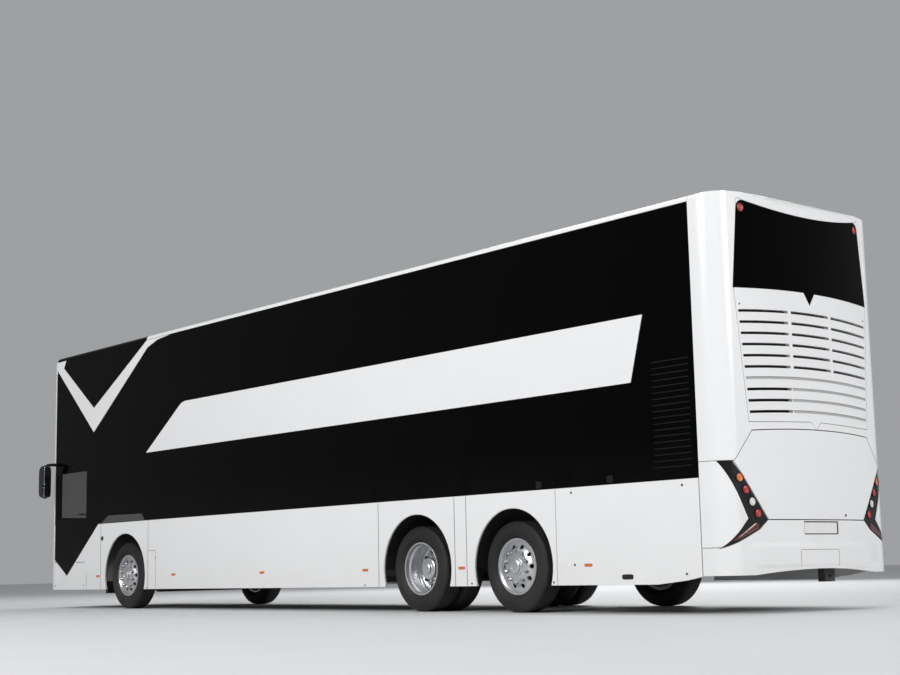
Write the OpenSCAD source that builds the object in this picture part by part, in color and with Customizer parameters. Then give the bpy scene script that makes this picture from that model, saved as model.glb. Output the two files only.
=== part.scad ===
// Double-deck touring coach on three axles, in millimetres.
// +X points forwards, +Y to the left, +Z up. The origin lies on the ground below the middle of the body.

/* [Body] */
// Overall length over the bumpers
body_l = 14150; // [14050:10:14250]
// Width of the body without its mirrors
body_w = 2550; // [2530:10:2570]
// Overall height
body_h = 4000; // [3980:10:4020]
// Height of the skirt's lower edge above the ground
skirt_z = 280; // [260:5:300]
// Height of the sill between skirt and glazing
sill_z = 1261; // [1240:1:1280]
// Height of the white band
band_h = 653; // [635:1:670]
// Depth of the roof panel's side edge below the overall height
cove_drop = 95; // [90:1:100]
// Thickness of the moulded front, rear and roof
wall = 50; // [45:1:55]
// Width of the joints between neighbouring panels
shut = 5; // [4:1:6]

/* [Running gear] */
// Distance from front axle to drive axle
wheelbase = 6885; // [6850:5:6920]
// Distance from drive axle to tag axle
tag_gap = 1620; // [1600:5:1640]
// Distance from the tail's side joint to the tag axle
tail_gap = 2615; // [2600:5:2630]
// Outer diameter of the tyres
tyre_d = 960; // [950:2:970]
// Width of one tyre
tyre_w = 275; // [265:1:280]
// Radius of the wheel arches
arch_r = 616; // [606:1:626]

/* [Decks and doors] */
// Height of the lower deck's floor
lower_floor_z = 420; // [410:5:430]
// Depth of the upper deck's floor below the overall height
upper_room = 1750; // [1740:5:1760]
// Width of a door leaf
leaf_w = 950; // [920:10:980]
// Length of a door's swing arm between its pivots
door_arm = 400; // [390:5:410]

/* [Hidden] */
$fn = 128;
fine = 1440;
half_w = body_w/2;
x_tail = -body_l/2;
x_nose = body_l/2;

// Heights that follow from the overall height and the upper deck
cove_z = body_h - cove_drop;
upper_floor_z = body_h - upper_room;
band_low_z = upper_floor_z - 9;
band_high_z = band_low_z + band_h;
mid_z = upper_floor_z + 317;
door_z1 = upper_floor_z - 180;

// Plan and profile curves of the shell
tail_bulge = 6100;
tail_corner = 260;
tail_drop = 88;
nose_bulge = 7000;
nose_corner = 240;
nose_drop = 79;
nose_rake_r = 14000;
nose_rake_z = 1250;
nose_top_r = 300;
tail_top_r = 150;
crown_r = 22000;
cove_r = 60;
cove_y = half_w + 1 - cove_r;
cove_centre_z = body_h - cove_y*cove_y/(2*crown_r) + 1 - cove_r;
nose_joint = x_nose - nose_drop - nose_corner;
rear_joint = x_tail + 415;

// Axle places
tag_x = rear_joint + tail_gap;
drive_x = tag_x + tag_gap;
front_x = drive_x + wheelbase;
axle_z = tyre_d/2;
wheel_y = half_w - 35 - tyre_w/2;
twin_gap = tyre_w + 37;
king_y = wheel_y - 130;
king_r = 28;
hub_r = 60;
bead_r = 288;

// Depths of the side panels, measured from the middle plane
skin_y = half_w;
glass_t = 10;
seat = 0.3;
wall_out_y = half_w - glass_t - seat;
wall_in_y = half_w - wall;
skirt_in_y = half_w - 30;
lower_wall_out_y = skirt_in_y - seat;
pillar_end = 40 - seat;
pillar_t = 30;

// Joints of the side panels, measured forwards from the tail's side joint
function at(d) = rear_joint + d;
window_pitch = 1743;
upper_first = 1523;
upper_joints = [for (k = [0 : 6]) at(upper_first + k*window_pitch)];
lower_joints = [for (d = [1700, 2840, 3363, 5050, 6733, 8470, 10200, 11960, 12290]) at(d)];
frame_pillar = 110;

// Skirt panels: rear end, front end and wheel-arch centre of each, arch 0 where there is none
skirt_rows = [
  [at(1939), at(3355), tag_x],
  [at(3355), at(3555), 0],
  [at(3555), drive_x + 706, drive_x],
  [drive_x + 706, front_x - 700, 0],
  [front_x - 700, front_x + 750, front_x],
];
flap_x0 = rear_joint;
flap_x1 = at(1939);
corner_x = front_x + 750;

// White band and V stripe on each flank
band_points = [
  [at(820), band_low_z], [at(10503), band_low_z], [at(9560), band_high_z - 55],
  [at(9500), band_high_z - 20], [at(9400), band_high_z], [at(632), band_high_z],
];
v_tip_x = nose_joint - 1272;
v_tip_z = band_high_z - 219;
v_top_z = cove_z - shut;
v_points = [
  [v_tip_x, v_tip_z], [nose_joint, v_top_z - 134], [nose_joint, v_top_z], [nose_joint - 290, v_top_z],
  [nose_joint - 220, v_top_z - 120], [v_tip_x + 5, v_tip_z + 373], [v_tip_x - 1640, v_top_z],
  [v_tip_x - 2320, v_top_z], [v_tip_x - 1960, v_top_z - 30], [v_tip_x - 1660, v_top_z - 110],
];
// Dark wedge that runs down into the front corner
wedge_tip_x = nose_joint - 429;
wedge_points = [
  [corner_x + 83, sill_z], [wedge_tip_x, 497], [nose_joint, 748], [nose_joint, sill_z],
];
// Driver's side window: rear and front ends, lower and upper edges
cab_window = [at(12318), nose_joint - 13, sill_z + 74, door_z1 + 40];

// Doors in the right flank: front jamb of each leaf
door_z0 = skirt_z + 25;
leaf_t = 40;
front_door_x = nose_joint - 440;
middle_door_x = at(6420);
pivot_inset = 70;
pivot_y = -(half_w - 115);
door_gap = 8;
post_r = 20;
pin_r = 12;
arm_z = [lower_floor_z + 480, door_z1 - 320];

// Tail panels, half widths and heights as seen from behind
window_top = [950, body_h - 85];
window_low_y = 1049;
window_arch_z = 3072;
window_sag_z = body_h - 175;
louvre_rows = 10;
louvre_open_rows = 6;
louvre_pitch = 106.4;
louvre_first_z = 2836;
louvre_first_y = 990;
louvre_step_y = 8.9;
louvre_h = 26;
louvre_rise_r = 14000;
louvre_bar_y = 315;
louvre_bar_w = 45;
seam_z = 1775;
lid_top_z = 1690;
lid_low_z = 866;
lid_gap = 9;
lid_t = 30;
lid_points = [[895, lid_top_z], [1085, 1445], [1118, 1398], [739, lid_low_z]];
lamp_points = [
  [1237, 1403], [1150, 1401], [1085, 1330], [752, 868], [752, 856], [860, 772], [1232, 606], [987, 872],
];
lamp_r = 38;
// Lamps of each cluster from the top: place across, height
lamp_rows = [[1070, 1251], [1000, 1140], [932, 1028], [866, 920]];
marker_lamp = [905, body_h - 170];
bumper_low_z = 352;
plate_size = [520, 114];
plate_z = 784;
tow_y = -330;
tow_z = 325;
tow_beam_z = 460;
tow_r = 16;
nose_tow_z = 250;
tow_lug_w = 160;
tow_t = 80;
tow_depth = 69;

// Height of the front's parts
mask_top_z = 1300;
screen_split_z = upper_floor_z + 40;
brow_z = body_h - 300;
// Arms of the left and right mirror, the right one clear of the open door
mirror_z = [door_z1 + 145, door_z1 + 530];

floor_t = 20;

// Frame rails: middle and inner face across, undersides of the low and high rails, the step between them
rail_y = 470;
rail_in_y = 430;
low_z = 330;
high_z = 640;
high_h = 140;
rail_w = 2*(rail_y - rail_in_y);
step_x = at(4820);
step_l = 120;

// Stairs: foot's place along the body, and the side of the body
stair_rows = [[at(9300), 1], [at(5250), 1]];
stair_steps = 8;
stair_tread = 240;
stair_y0 = 560;
stair_y1 = 1190;

// Seats
seat_w = 900;
seat_pitch = 810;
seat_y = 745;
upper_seat_rows = 15;
lower_seat_rows = 4;

// Outline in the XZ plane made into a plate between two depths of the left flank
module side_plate(y0, y1) {
  translate([0, y1, 0]) rotate([90, 0, 0]) linear_extrude(y1 - y0) children();
}

// Outline in the YZ plane made into a prism between two places along the body
module cross_prism(x0, x1) {
  translate([x0, 0, 0]) rotate([90, 0, 90]) linear_extrude(x1 - x0) children();
}

// The same piece on the left for 1, on the right for -1
module on_side(s) {
  mirror([0, s < 0 ? 1 : 0, 0]) children();
}

// Rectangle between two corners
module area(x0, x1, z0, z1) {
  translate([x0, z0]) square([x1 - x0, z1 - z0]);
}

// Plan of the body, drawn in by an inset
module plan_outline(inset) {
  tail_c = x_tail + tail_drop + tail_corner;
  tail_y = (half_w - tail_corner)*tail_bulge/(tail_bulge - tail_corner);
  nose_y = (half_w - nose_corner)*nose_bulge/(nose_bulge - nose_corner);
  intersection() {
    union() {
      translate([x_tail + tail_bulge, 0]) circle(r = tail_bulge - inset, $fn = fine);
      area(0, x_nose, -body_w, body_w);
    }
    union() {
      translate([x_nose - nose_bulge, 0]) circle(r = nose_bulge - inset, $fn = fine);
      area(x_tail, 0, -body_w, body_w);
    }
    union() {
      area(tail_c, nose_joint, -half_w + inset, half_w - inset);
      area(x_tail - 10, tail_c + 100, -tail_y, tail_y);
      area(nose_joint - 100, x_nose + 10, -nose_y, nose_y);
      for (s = [-1, 1]) {
        translate([tail_c, s*(half_w - tail_corner)]) circle(r = tail_corner - inset);
        translate([nose_joint, s*(half_w - nose_corner)]) circle(r = nose_corner - inset);
      }
    }
  }
}

// Side view of the body, drawn in by an inset
module profile_outline(inset) {
  top_z = body_h + 3;
  top_x = x_nose - pow(top_z - nose_top_r - nose_rake_z, 2)/(2*nose_rake_r) - nose_top_r + 1;
  intersection() {
    translate([x_nose + 3 - nose_rake_r, nose_rake_z]) circle(r = nose_rake_r - inset, $fn = fine);
    union() {
      area(x_tail - 20, x_nose + 20, 0, top_z - nose_top_r);
      area(x_tail + tail_top_r, top_x, 0, top_z - inset);
      area(x_tail - 20, x_tail + 2*tail_top_r, 0, top_z - tail_top_r);
      translate([top_x, top_z - nose_top_r]) circle(r = nose_top_r - inset);
      translate([x_tail + tail_top_r - 4, top_z - tail_top_r]) circle(r = tail_top_r - inset);
    }
  }
}

// Cross-section of the body, drawn in by an inset
module section_outline(inset) {
  intersection() {
    translate([0, body_h - crown_r]) circle(r = crown_r - inset, $fn = fine);
    union() {
      area(-half_w - 1 + inset, half_w + 1 - inset, 0, cove_centre_z);
      area(-cove_y, cove_y, 0, body_h);
      for (s = [-1, 1]) translate([s*cove_y, cove_centre_z]) circle(r = cove_r - inset);
    }
  }
}

// The body's plan as an upright block, drawn in by an inset
module plan_block(inset) {
  translate([0, 0, skirt_z]) linear_extrude(body_h) plan_outline(inset);
}

// The same block with the raked nose
module raked_block(inset) {
  intersection() {
    plan_block(inset);
    side_plate(-body_w, body_w) translate([x_nose + 3 - nose_rake_r, nose_rake_z])
      circle(r = nose_rake_r - inset, $fn = fine);
  }
}

// The whole body as one block with its rounded roof, drawn in by an inset
module envelope(inset) {
  intersection() {
    plan_block(inset);
    side_plate(-body_w, body_w) profile_outline(inset);
    cross_prism(x_tail - 10, x_nose + 10) section_outline(inset);
  }
}

// Skin of the whole body between two insets
module skin(outer, inner) {
  difference() {
    envelope(outer);
    envelope(inner);
  }
}

// Piece of the upright tail with an outline as seen from behind
module tail_piece(outer, inner, to = rear_joint - shut) {
  intersection() {
    difference() {
      plan_block(outer);
      plan_block(inner);
    }
    cross_prism(x_tail - 20, to) children();
  }
}

// Piece of the raked nose with an outline as seen from the front
module nose_piece(outer, inner, from = nose_joint + shut) {
  intersection() {
    difference() {
      raked_block(outer);
      raked_block(inner);
    }
    cross_prism(from, x_nose + 20) children();
  }
}

// Outline mirrored about the middle plane
module both_sides() {
  for (s = [0, 1]) mirror([s, 0]) children();
}

module wheel_arches(extra) {
  for (x = [tag_x, drive_x, front_x]) translate([x, axle_z]) circle(r = arch_r + extra);
}

// Front ladder of the frame: low rails below the passenger deck with jack pads and a tow lug
module front_ladder() {
  rail_h = lower_floor_z - floor_t - seat - low_z;
  low_front = nose_joint - 60;
  low_rear = step_x + step_l + seat;
  cross_w = 60;
  cross_gaps = 7;
  cross_x = [for (k = [0 : cross_gaps]) low_rear + k*(low_front - low_rear - cross_w)/cross_gaps];
  difference() {
    union() {
      for (s = [-1, 1]) {
        translate([low_rear, s*rail_y - rail_w/2, low_z]) cube([low_front - low_rear, rail_w, rail_h]);
        for (x = [at(5400), front_x - 900])
          translate([x, s*rail_y, skirt_z + 5]) cylinder(r = 55, h = low_z - skirt_z);
      }
      for (x = cross_x) if (abs(x - front_x) > arch_r)
        translate([x, -1180, low_z + 4]) cube([cross_w, 2360, rail_h - 8]);
      translate([low_front - tow_t, -560, low_z]) cube([tow_t, 1120, rail_h]);
      translate([low_front - tow_t, -tow_y - tow_lug_w/2, nose_tow_z - 45])
        cube([tow_t, tow_lug_w, low_z - nose_tow_z + 65]);
    }
    translate([low_front + 1, -tow_y, nose_tow_z]) rotate([0, -90, 0]) cylinder(r = tow_r, h = tow_depth + 1);
  }
}

// Rear ladder of the frame: high rails over the rear axles, with posts down to the front ladder and a tow lug
module rear_ladder() {
  rail_rear = at(-150);
  tow_x = at(-230);
  high_top = high_z + high_h;
  difference() {
    union() {
      for (s = [-1, 1]) {
        translate([rail_rear, s*rail_y - rail_w/2, high_z])
          cube([step_x + step_l - rail_rear, rail_w, high_h]);
        translate([step_x, s*rail_y - rail_w/2, low_z]) cube([step_l, rail_w, high_top - low_z]);
      }
      for (x = [at(250), at(1850), at(3330), at(4800)])
        translate([x, -rail_y, high_z + 20]) cube([70, 2*rail_y, high_h - 40]);
      translate([tow_x, -560, tow_beam_z]) cube([tow_t, 1120, high_top - tow_beam_z]);
      translate([tow_x, tow_y - tow_lug_w/2, tow_z - 55]) cube([tow_t, tow_lug_w, tow_beam_z - tow_z + 75]);
    }
    translate([tow_x - 1, tow_y, tow_z]) rotate([0, 90, 0]) cylinder(r = tow_r, h = tow_depth + 1);
  }
}

module underframe() {
  color("dimgray") {
    front_ladder();
    rear_ladder();
  }
}

// Passenger floor, front wheel boxes, bulkhead and the raised floor over the rear axles
module lower_floor() {
  x0 = at(4950);
  x1 = nose_joint - 40;
  floor_y = wall_in_y - seat;
  deck_z = lower_floor_z + seat;
  box_l = 640;
  box_y = 560;
  box_top = 1140;
  raised_z = 1160;
  head_t = 40;
  color("gray") {
    difference() {
      translate([x0, -floor_y, lower_floor_z - floor_t]) cube([x1 - x0, 2*floor_y, floor_t]);
      for (s = [-1, 1]) on_side(s)
        translate([front_x - box_l + floor_t, box_y + floor_t, 0])
          cube([2*(box_l - floor_t), half_w, 2*lower_floor_z]);
    }
    for (s = [-1, 1]) on_side(s) difference() {
      translate([front_x - box_l, box_y, deck_z]) cube([2*box_l, floor_y - box_y, box_top - deck_z]);
      translate([front_x - box_l + floor_t, box_y + floor_t, 0])
        cube([2*(box_l - floor_t), half_w, box_top - floor_t]);
    }
    translate([x0, -floor_y, deck_z]) cube([head_t, 2*floor_y, upper_floor_z - 54 - deck_z]);
    translate([at(40), -floor_y, raised_z]) cube([x0 - seat - at(40), 2*floor_y, floor_t]);
  }
}

module upper_floor() {
  x0 = at(40);
  x1 = nose_joint - 40;
  floor_y = wall_in_y - seat;
  color("gray") difference() {
    translate([x0, -floor_y, upper_floor_z - 50]) cube([x1 - x0, 2*floor_y, 50]);
    for (row = stair_rows) on_side(row[1])
      translate([row[0] - 40, stair_y0 - 20, upper_floor_z - 60])
        cube([stair_steps*stair_tread + 80, stair_y1 - stair_y0 + 40, 80]);
  }
}

// Two flights: treads on an inner stringer
module stairs() {
  rise = (upper_floor_z - lower_floor_z)/(stair_steps + 1);
  color("silver") for (row = stair_rows) on_side(row[1]) {
    x0 = row[0];
    run = stair_steps*stair_tread;
    side_plate(stair_y0, stair_y0 + 30) polygon([
      [x0, lower_floor_z + seat], [x0 + 300, lower_floor_z + seat],
      [x0 + run, upper_floor_z - rise - 250], [x0 + run, upper_floor_z - rise], [x0, lower_floor_z + rise],
    ]);
    for (k = [0 : stair_steps - 1])
      translate([x0 + k*stair_tread, stair_y0 + 10, lower_floor_z + (k + 1)*rise - 40])
        cube([stair_tread + 20, stair_y1 - stair_y0 - 10, 40]);
  }
}

// Window openings of one flank: two to each upper pane, plain ones in the lower deck
module window_openings() {
  ends = concat([rear_joint + 80], upper_joints, [nose_joint - 60]);
  for (k = [0 : len(ends) - 2]) {
    half = (ends[k + 1] - ends[k])/2;
    for (j = [0, 1]) if (half > 300)
      area(ends[k] + j*half + frame_pillar/2, ends[k] + (j + 1)*half - frame_pillar/2,
        band_high_z + 70, cove_z - 90);
  }
  for (k = [3 : 6]) for (j = [0, 1]) {
    half = (lower_joints[k + 1] - lower_joints[k])/2;
    area(lower_joints[k] + j*half + frame_pillar/2, lower_joints[k] + (j + 1)*half - frame_pillar/2,
      sill_z + 70, band_low_z - 70);
  }
}

module wall_outline() {
  intersection() {
    area(rear_joint + shut, nose_joint - shut, lower_floor_z + 3, cove_z - seat);
    profile_outline(wall);
  }
}

// Structural wall of one flank, thinner behind the skirt
module side_wall(doors) {
  difference() {
    union() {
      side_plate(wall_in_y, lower_wall_out_y) wall_outline();
      side_plate(wall_in_y, wall_out_y) intersection() {
        wall_outline();
        area(x_tail, x_nose, sill_z + shut, body_h);
      }
    }
    side_plate(half_w - 200, half_w + 10) {
      window_openings();
      area(flap_x0 + 120, flap_x1 - 120, 300, 1130);
      wheel_arches(14);
      if (!doors) area(cab_window[0], cab_window[1] - 60, cab_window[2], cab_window[3]);
      if (doors) for (x = [front_door_x, middle_door_x])
        area(x - leaf_w - door_gap, x + door_gap, 0, door_z1 + door_gap);
    }
  }
}

module side_wall_left() {
  color("#303234") side_wall(false);
}

module side_wall_right() {
  color("#303234") on_side(-1) side_wall(true);
}

// Rear pillars that carry the tail's panels, with a lip behind the rear window
module rear_pillars() {
  pillar_y = 900;
  pillar_top = window_top[1] - 75;
  color("#303234") for (s = [-1, 1]) on_side(s) {
    tail_piece(wall + seat, wall + pillar_t, rear_joint + pillar_end)
      area(pillar_y, body_w, lower_floor_z, pillar_top);
    tail_piece(glass_t + seat, wall + pillar_t/2) intersection() {
      offset(delta = -2) window_outline();
      area(pillar_y, body_w, window_arch_z, pillar_top);
    }
  }
}

// Front pillars that carry the front and both windscreens
module front_pillars() {
  pillar_y = 1090;
  color("#303234") for (s = [-1, 1]) on_side(s) {
    nose_piece(wall + seat, wall + pillar_t, nose_joint - pillar_end)
      area(pillar_y, body_w, lower_floor_z, brow_z - 2*shut);
    nose_piece(glass_t + seat, wall + pillar_t/2)
      area(pillar_y, body_w, mask_top_z + 2*shut, brow_z - 2*shut);
  }
}

// White roof in two lengths, from the tail joint to the dark dome
module roof() {
  seam = at(4020);
  dome_x = v_tip_x - 1640;
  ends = [[rear_joint, seam - shut/2], [seam + shut/2, dome_x - shut/2]];
  color("white") for (e = ends) intersection() {
    skin(0, wall);
    translate([e[0], -body_w, cove_z]) cube([e[1] - e[0], 2*body_w, 400]);
  }
}

// Dark glazed roof over the front rows
module front_dome() {
  dome_x = v_tip_x - 1640;
  color("#101214") intersection() {
    skin(0, wall);
    translate([dome_x + shut/2, -body_w, cove_z]) cube([nose_joint - dome_x - shut/2, 2*body_w, 400]);
  }
}

// White band over the upper windscreen, joined to the V stripes
module front_brow() {
  color("white") intersection() {
    skin(0, wall);
    translate([nose_joint + seat, -body_w, brow_z]) cube([400, 2*body_w, 400]);
  }
}

// White front below the windscreen, with places for the lamps
module front_mask() {
  color("white") nose_piece(0, wall) difference() {
    area(-body_w, body_w, skirt_z, mask_top_z);
    offset(delta = shut) both_sides() headlamp_outline();
  }
}

module headlamp_outline() {
  polygon([[1215, 900], [760, 640], [700, 560], [1000, 590], [1215, 740]]);
}

module headlamps() {
  color("gainsboro") nose_piece(3, wall) both_sides() headlamp_outline();
}

// Lower and upper windscreen, wrapped round the corners
module windscreens() {
  color("#14181c") {
    nose_piece(0, glass_t) area(-body_w, body_w, mask_top_z + shut, screen_split_z);
    nose_piece(0, glass_t) area(-body_w, body_w, screen_split_z + shut, brow_z - shut);
  }
}

module wedge_outline() {
  polygon([for (p = wedge_points)
    [min(p[0], nose_joint - shut/2), p[1] >= sill_z ? sill_z + 2*shut : p[1]]]);
}

// Louvres in the dark quarter panel behind the white band
module quarter_slots() {
  for (k = [0 : 17]) area(at(70), at(560), 1380 + k*60, 1395 + k*60);
}

// Flush dark panes of one flank: a row for each deck, broken by the white band and stripe
module glazing(doors) {
  upper_ends = concat([rear_joint], upper_joints, [nose_joint]);
  lower_ends = concat([rear_joint], lower_joints, [nose_joint]);
  side_plate(skin_y - glass_t, skin_y) difference() {
    intersection() {
      union() {
        for (k = [0 : len(upper_ends) - 2])
          area(upper_ends[k] + shut/2, upper_ends[k + 1] - shut/2, mid_z + shut/2, cove_z - shut);
        for (k = [0 : len(lower_ends) - 2])
          area(lower_ends[k] + shut/2, lower_ends[k + 1] - shut/2, sill_z + shut, mid_z - shut/2);
        wedge_outline();
      }
      profile_outline(0);
    }
    offset(delta = shut) polygon(band_points);
    offset(delta = shut) polygon(v_points);
    quarter_slots();
    if (doors) for (x = [front_door_x, middle_door_x])
      area(x - leaf_w - door_gap, x + door_gap, 0, door_z1 + door_gap);
  }
}

module glazing_left() {
  color("#0c0e10") glazing(false);
}

module glazing_right() {
  color("#0c0e10") on_side(-1) glazing(true);
}

// White waist bands and V stripes of both flanks
module white_bands() {
  color("white") for (s = [-1, 1]) on_side(s) side_plate(skin_y - glass_t, skin_y) intersection() {
    union() {
      polygon(band_points);
      polygon(v_points);
    }
    profile_outline(0);
  }
}

// Skirt panels of one flank with round wheel arches
module skirt(doors) {
  side_plate(skirt_in_y, skin_y) difference() {
    union() {
      for (row = skirt_rows) difference() {
        area(row[0] + shut/2, row[1] - shut/2, skirt_z, sill_z);
        if (row[2] != 0) translate([row[2], axle_z]) circle(r = arch_r);
      }
      difference() {
        area(corner_x + shut/2, nose_joint - shut/2, skirt_z, sill_z);
        offset(delta = shut) wedge_outline();
      }
    }
    if (doors) for (x = [front_door_x, middle_door_x])
      area(x - leaf_w - door_gap, x + door_gap, 0, door_z1);
  }
}

module skirt_left() {
  color("white") skirt(false);
}

module skirt_right() {
  color("white") on_side(-1) skirt(true);
}

// Lift-up flap behind the tag wheel, hung from its upper edge
module flap() {
  side_plate(skirt_in_y, skin_y) difference() {
    area(flap_x0 + shut, flap_x1 - shut/2 - 2, skirt_z, sill_z);
    polygon([[flap_x0 - 10, skirt_z - 10], [flap_x0 - 10, skirt_z + 70], [flap_x0 + 200, skirt_z + 35],
      [flap_x0 + 560, skirt_z], [flap_x0 + 560, skirt_z - 10]]);
  }
}

module flap_left() {
  color("white") flap();
}

module flap_right() {
  color("white") on_side(-1) flap();
}

// Rear window as seen from behind: sagging top edge, arched lower edge with a point in its middle
module window_outline() {
  tip_z = window_arch_z - 117;
  difference() {
    polygon([[-window_low_y, tip_z], [window_low_y, tip_z], window_top, [-window_top[0], window_top[1]]]);
    difference() {
      translate([0, window_arch_z - 20000]) circle(r = 20000, $fn = fine);
      polygon([[-96, window_arch_z + 20], [96, window_arch_z + 20], [0, tip_z - 2]]);
    }
    translate([0, window_sag_z + 5000]) circle(r = 5000, $fn = fine);
  }
}

module marker_outline(extra) {
  both_sides() translate(marker_lamp) circle(r = lamp_r + extra);
}

// Panel that holds the louvres: point at the lower edge
module louvre_outline() {
  difference() {
    polygon([[-1036, 3090], [1036, 3090], [925, seam_z], [75, seam_z + 26], [0, seam_z - 48],
      [-75, seam_z + 26], [-925, seam_z]]);
    offset(delta = shut) window_outline();
  }
}

// One louvre slot: a ring segment between two places across the tail
module louvre_slot(k, y0, y1) {
  half = louvre_first_y - k*louvre_step_y;
  centre_z = louvre_first_z - k*louvre_pitch + half*half/(2*louvre_rise_r) - louvre_rise_r;
  intersection() {
    difference() {
      translate([0, centre_z]) circle(r = louvre_rise_r, $fn = fine);
      translate([0, centre_z]) circle(r = louvre_rise_r - louvre_h, $fn = fine);
    }
    area(y0, y1, 1000, 3200);
  }
}

// Open slots: three to each upper row, and only the left third in the lowest rows
module open_slots() {
  for (k = [0 : louvre_rows - 1]) {
    half = louvre_first_y - k*louvre_step_y;
    if (k != louvre_open_rows) louvre_slot(k, louvre_bar_y + louvre_bar_w/2, half);
    if (k < louvre_open_rows) {
      louvre_slot(k, -louvre_bar_y + louvre_bar_w/2, louvre_bar_y - louvre_bar_w/2);
      louvre_slot(k, -half, -louvre_bar_y - louvre_bar_w/2);
    }
  }
}

// Blind grooves in the lower rows
module blind_slots() {
  for (k = [louvre_open_rows : louvre_rows - 1]) {
    half = louvre_first_y - k*louvre_step_y;
    louvre_slot(k, -half, k == louvre_open_rows ? half : louvre_bar_y + 10);
  }
}

module louvre_panel() {
  color("white") difference() {
    tail_piece(0, wall) difference() {
      louvre_outline();
      open_slots();
    }
    difference() {
      cross_prism(x_tail - 20, rear_joint) blind_slots();
      plan_block(12);
    }
  }
}

module lid_outline() {
  intersection() {
    polygon(concat(lid_points,
      [for (k = [len(lid_points) - 1 : -1 : 0]) [-lid_points[k][0], lid_points[k][1]]],
      [[-895, lid_top_z], [-500, lid_top_z + 60], [500, lid_top_z + 60]]));
    translate([0, lid_top_z + 30 - 13000]) circle(r = 13000, $fn = fine);
  }
}

module lamp_outline() {
  polygon(lamp_points);
}

// Moulded tail: corners, window frame and the strip over the engine lid
module rear_shell() {
  color("white") difference() {
    intersection() {
      envelope(0);
      cross_prism(x_tail - 20, rear_joint - shut) difference() {
        area(-body_w, body_w, 1405 + shut, body_h + 10);
        offset(delta = shut) window_outline();
        offset(delta = shut) louvre_outline();
        offset(delta = lid_gap) lid_outline();
      }
    }
    translate([0, 0, skirt_z]) linear_extrude(cove_z - skirt_z - 10) plan_outline(wall);
  }
}

module rear_window() {
  color("#0c0e10") tail_piece(0, glass_t) difference() {
    window_outline();
    marker_outline(seat);
  }
}

// Engine lid, hung from its upper edge, with buffers that rest on the pillars
module engine_lid() {
  color("white") {
    tail_piece(0, lid_t) lid_outline();
    tail_piece(lid_t - 1, wall) both_sides() area(950, 1020, 1420, 1470);
  }
}

// White corner panels outside the lamp clusters
module rear_corners() {
  color("white") tail_piece(0, wall) both_sides() difference() {
    area(900, body_w, 606 + shut, 1405);
    offset(delta = shut) lamp_outline();
    polygon([[880, 872], [987, 872], [1237, 1403], [1237, 1500], [880, 1500]]);
    polygon([[880, 872], [987, 872], [1232, 606], [1232, 500], [880, 500]]);
  }
}

module bumper_outline() {
  difference() {
    area(-body_w, body_w, bumper_low_z, lid_low_z - lid_gap);
    both_sides() {
      offset(delta = shut) lamp_outline();
      polygon([[900, 850], [1232, 606], [body_w, 606], [body_w, 1000], [752, 1000], [752, 868]]);
    }
    translate([0, bumper_low_z + 48 - 9000]) circle(r = 9000, $fn = fine);
  }
}

// Rear bumper with a recess for the number plate
module rear_bumper() {
  color("white") difference() {
    tail_piece(0, wall) bumper_outline();
    translate([x_tail - 10, -plate_size[0]/2 - 6, plate_z - plate_size[1]/2 - 6])
      cube([28, plate_size[0] + 12, plate_size[1] + 12]);
  }
}

// Dark boomerang housings of the lamp clusters
module tail_lamps() {
  color("#141618") tail_piece(6, wall) both_sides() lamp_outline();
}

// Round lenses of the clusters and the two marker lamps in the rear window
module tail_lenses() {
  color("crimson") tail_piece(0, 6 - seat) {
    both_sides() for (row = lamp_rows) translate(row) circle(r = lamp_r);
    marker_outline(0);
  }
}

// Blank number plate
module number_plate() {
  color("white") translate([x_tail + 15 - seat, -plate_size[0]/2, plate_z - plate_size[1]/2])
    cube([3, plate_size[0], plate_size[1]]);
}

// Outside mirror on a short arm, given the height of the arm's underside
module side_mirror(arm_low_z) {
  x = nose_joint - 110;
  head_h = 540;
  color("#141618") {
    translate([x, half_w + 125, arm_low_z + 30 - head_h]) cube([180, 150, head_h]);
    translate([x + 10, half_w + seat, arm_low_z]) cube([80, 200, 60]);
  }
}

module mirror_left() {
  side_mirror(mirror_z[0]);
}

module mirror_right() {
  on_side(-1) side_mirror(mirror_z[1]);
}

// Door leaf with two glazed lights; lugs inside carry its pivot
module door_leaf(front) {
  light_x = [[front - leaf_w + 90, front - leaf_w/2 - 25], [front - leaf_w/2 + 25, front - 90]];
  px = front - pivot_inset - door_arm;
  color("#141618") {
    on_side(-1) side_plate(half_w - leaf_t, half_w) difference() {
      area(front - leaf_w, front, door_z0, door_z1);
      for (l = light_x) area(l[0], l[1], door_z0 + 350, door_z1 - 90);
    }
    for (z = arm_z) difference() {
      union() {
        translate([px, pivot_y, z + 32]) cylinder(r = 32, h = 24);
        translate([px - 32, -half_w + leaf_t - 1, z + 32]) cube([64, half_w - leaf_t + pivot_y + 1, 24]);
      }
      translate([px, pivot_y, z]) cylinder(r = pin_r + seat, h = 80);
    }
  }
}

// Swing arm of a door: upright post with two bent arms
module door_swing(front) {
  ax = front - pivot_inset;
  px = ax - door_arm;
  elbow = [ax - 124, pivot_y + 136];
  color("silver") {
    translate([ax, pivot_y, lower_floor_z + seat])
      cylinder(r = post_r, h = upper_floor_z - 60 - lower_floor_z);
    for (z = arm_z) {
      translate([0, 0, z]) linear_extrude(24) union() {
        link([ax, pivot_y], elbow, 30);
        link(elbow, [px, pivot_y], 30);
        translate(elbow) circle(r = 22);
        translate([px, pivot_y]) circle(r = 30);
      }
      translate([px, pivot_y, z + 6]) cylinder(r = pin_r, h = 64);
    }
  }
}

// Straight bar between two points of a plan
module link(a, b, w) {
  d = b - a;
  translate(a) rotate(atan2(d[1], d[0])) translate([0, -w/2]) square([norm(d), w]);
}

module front_door() {
  door_leaf(front_door_x);
}

module front_door_arm() {
  door_swing(front_door_x);
}

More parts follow.
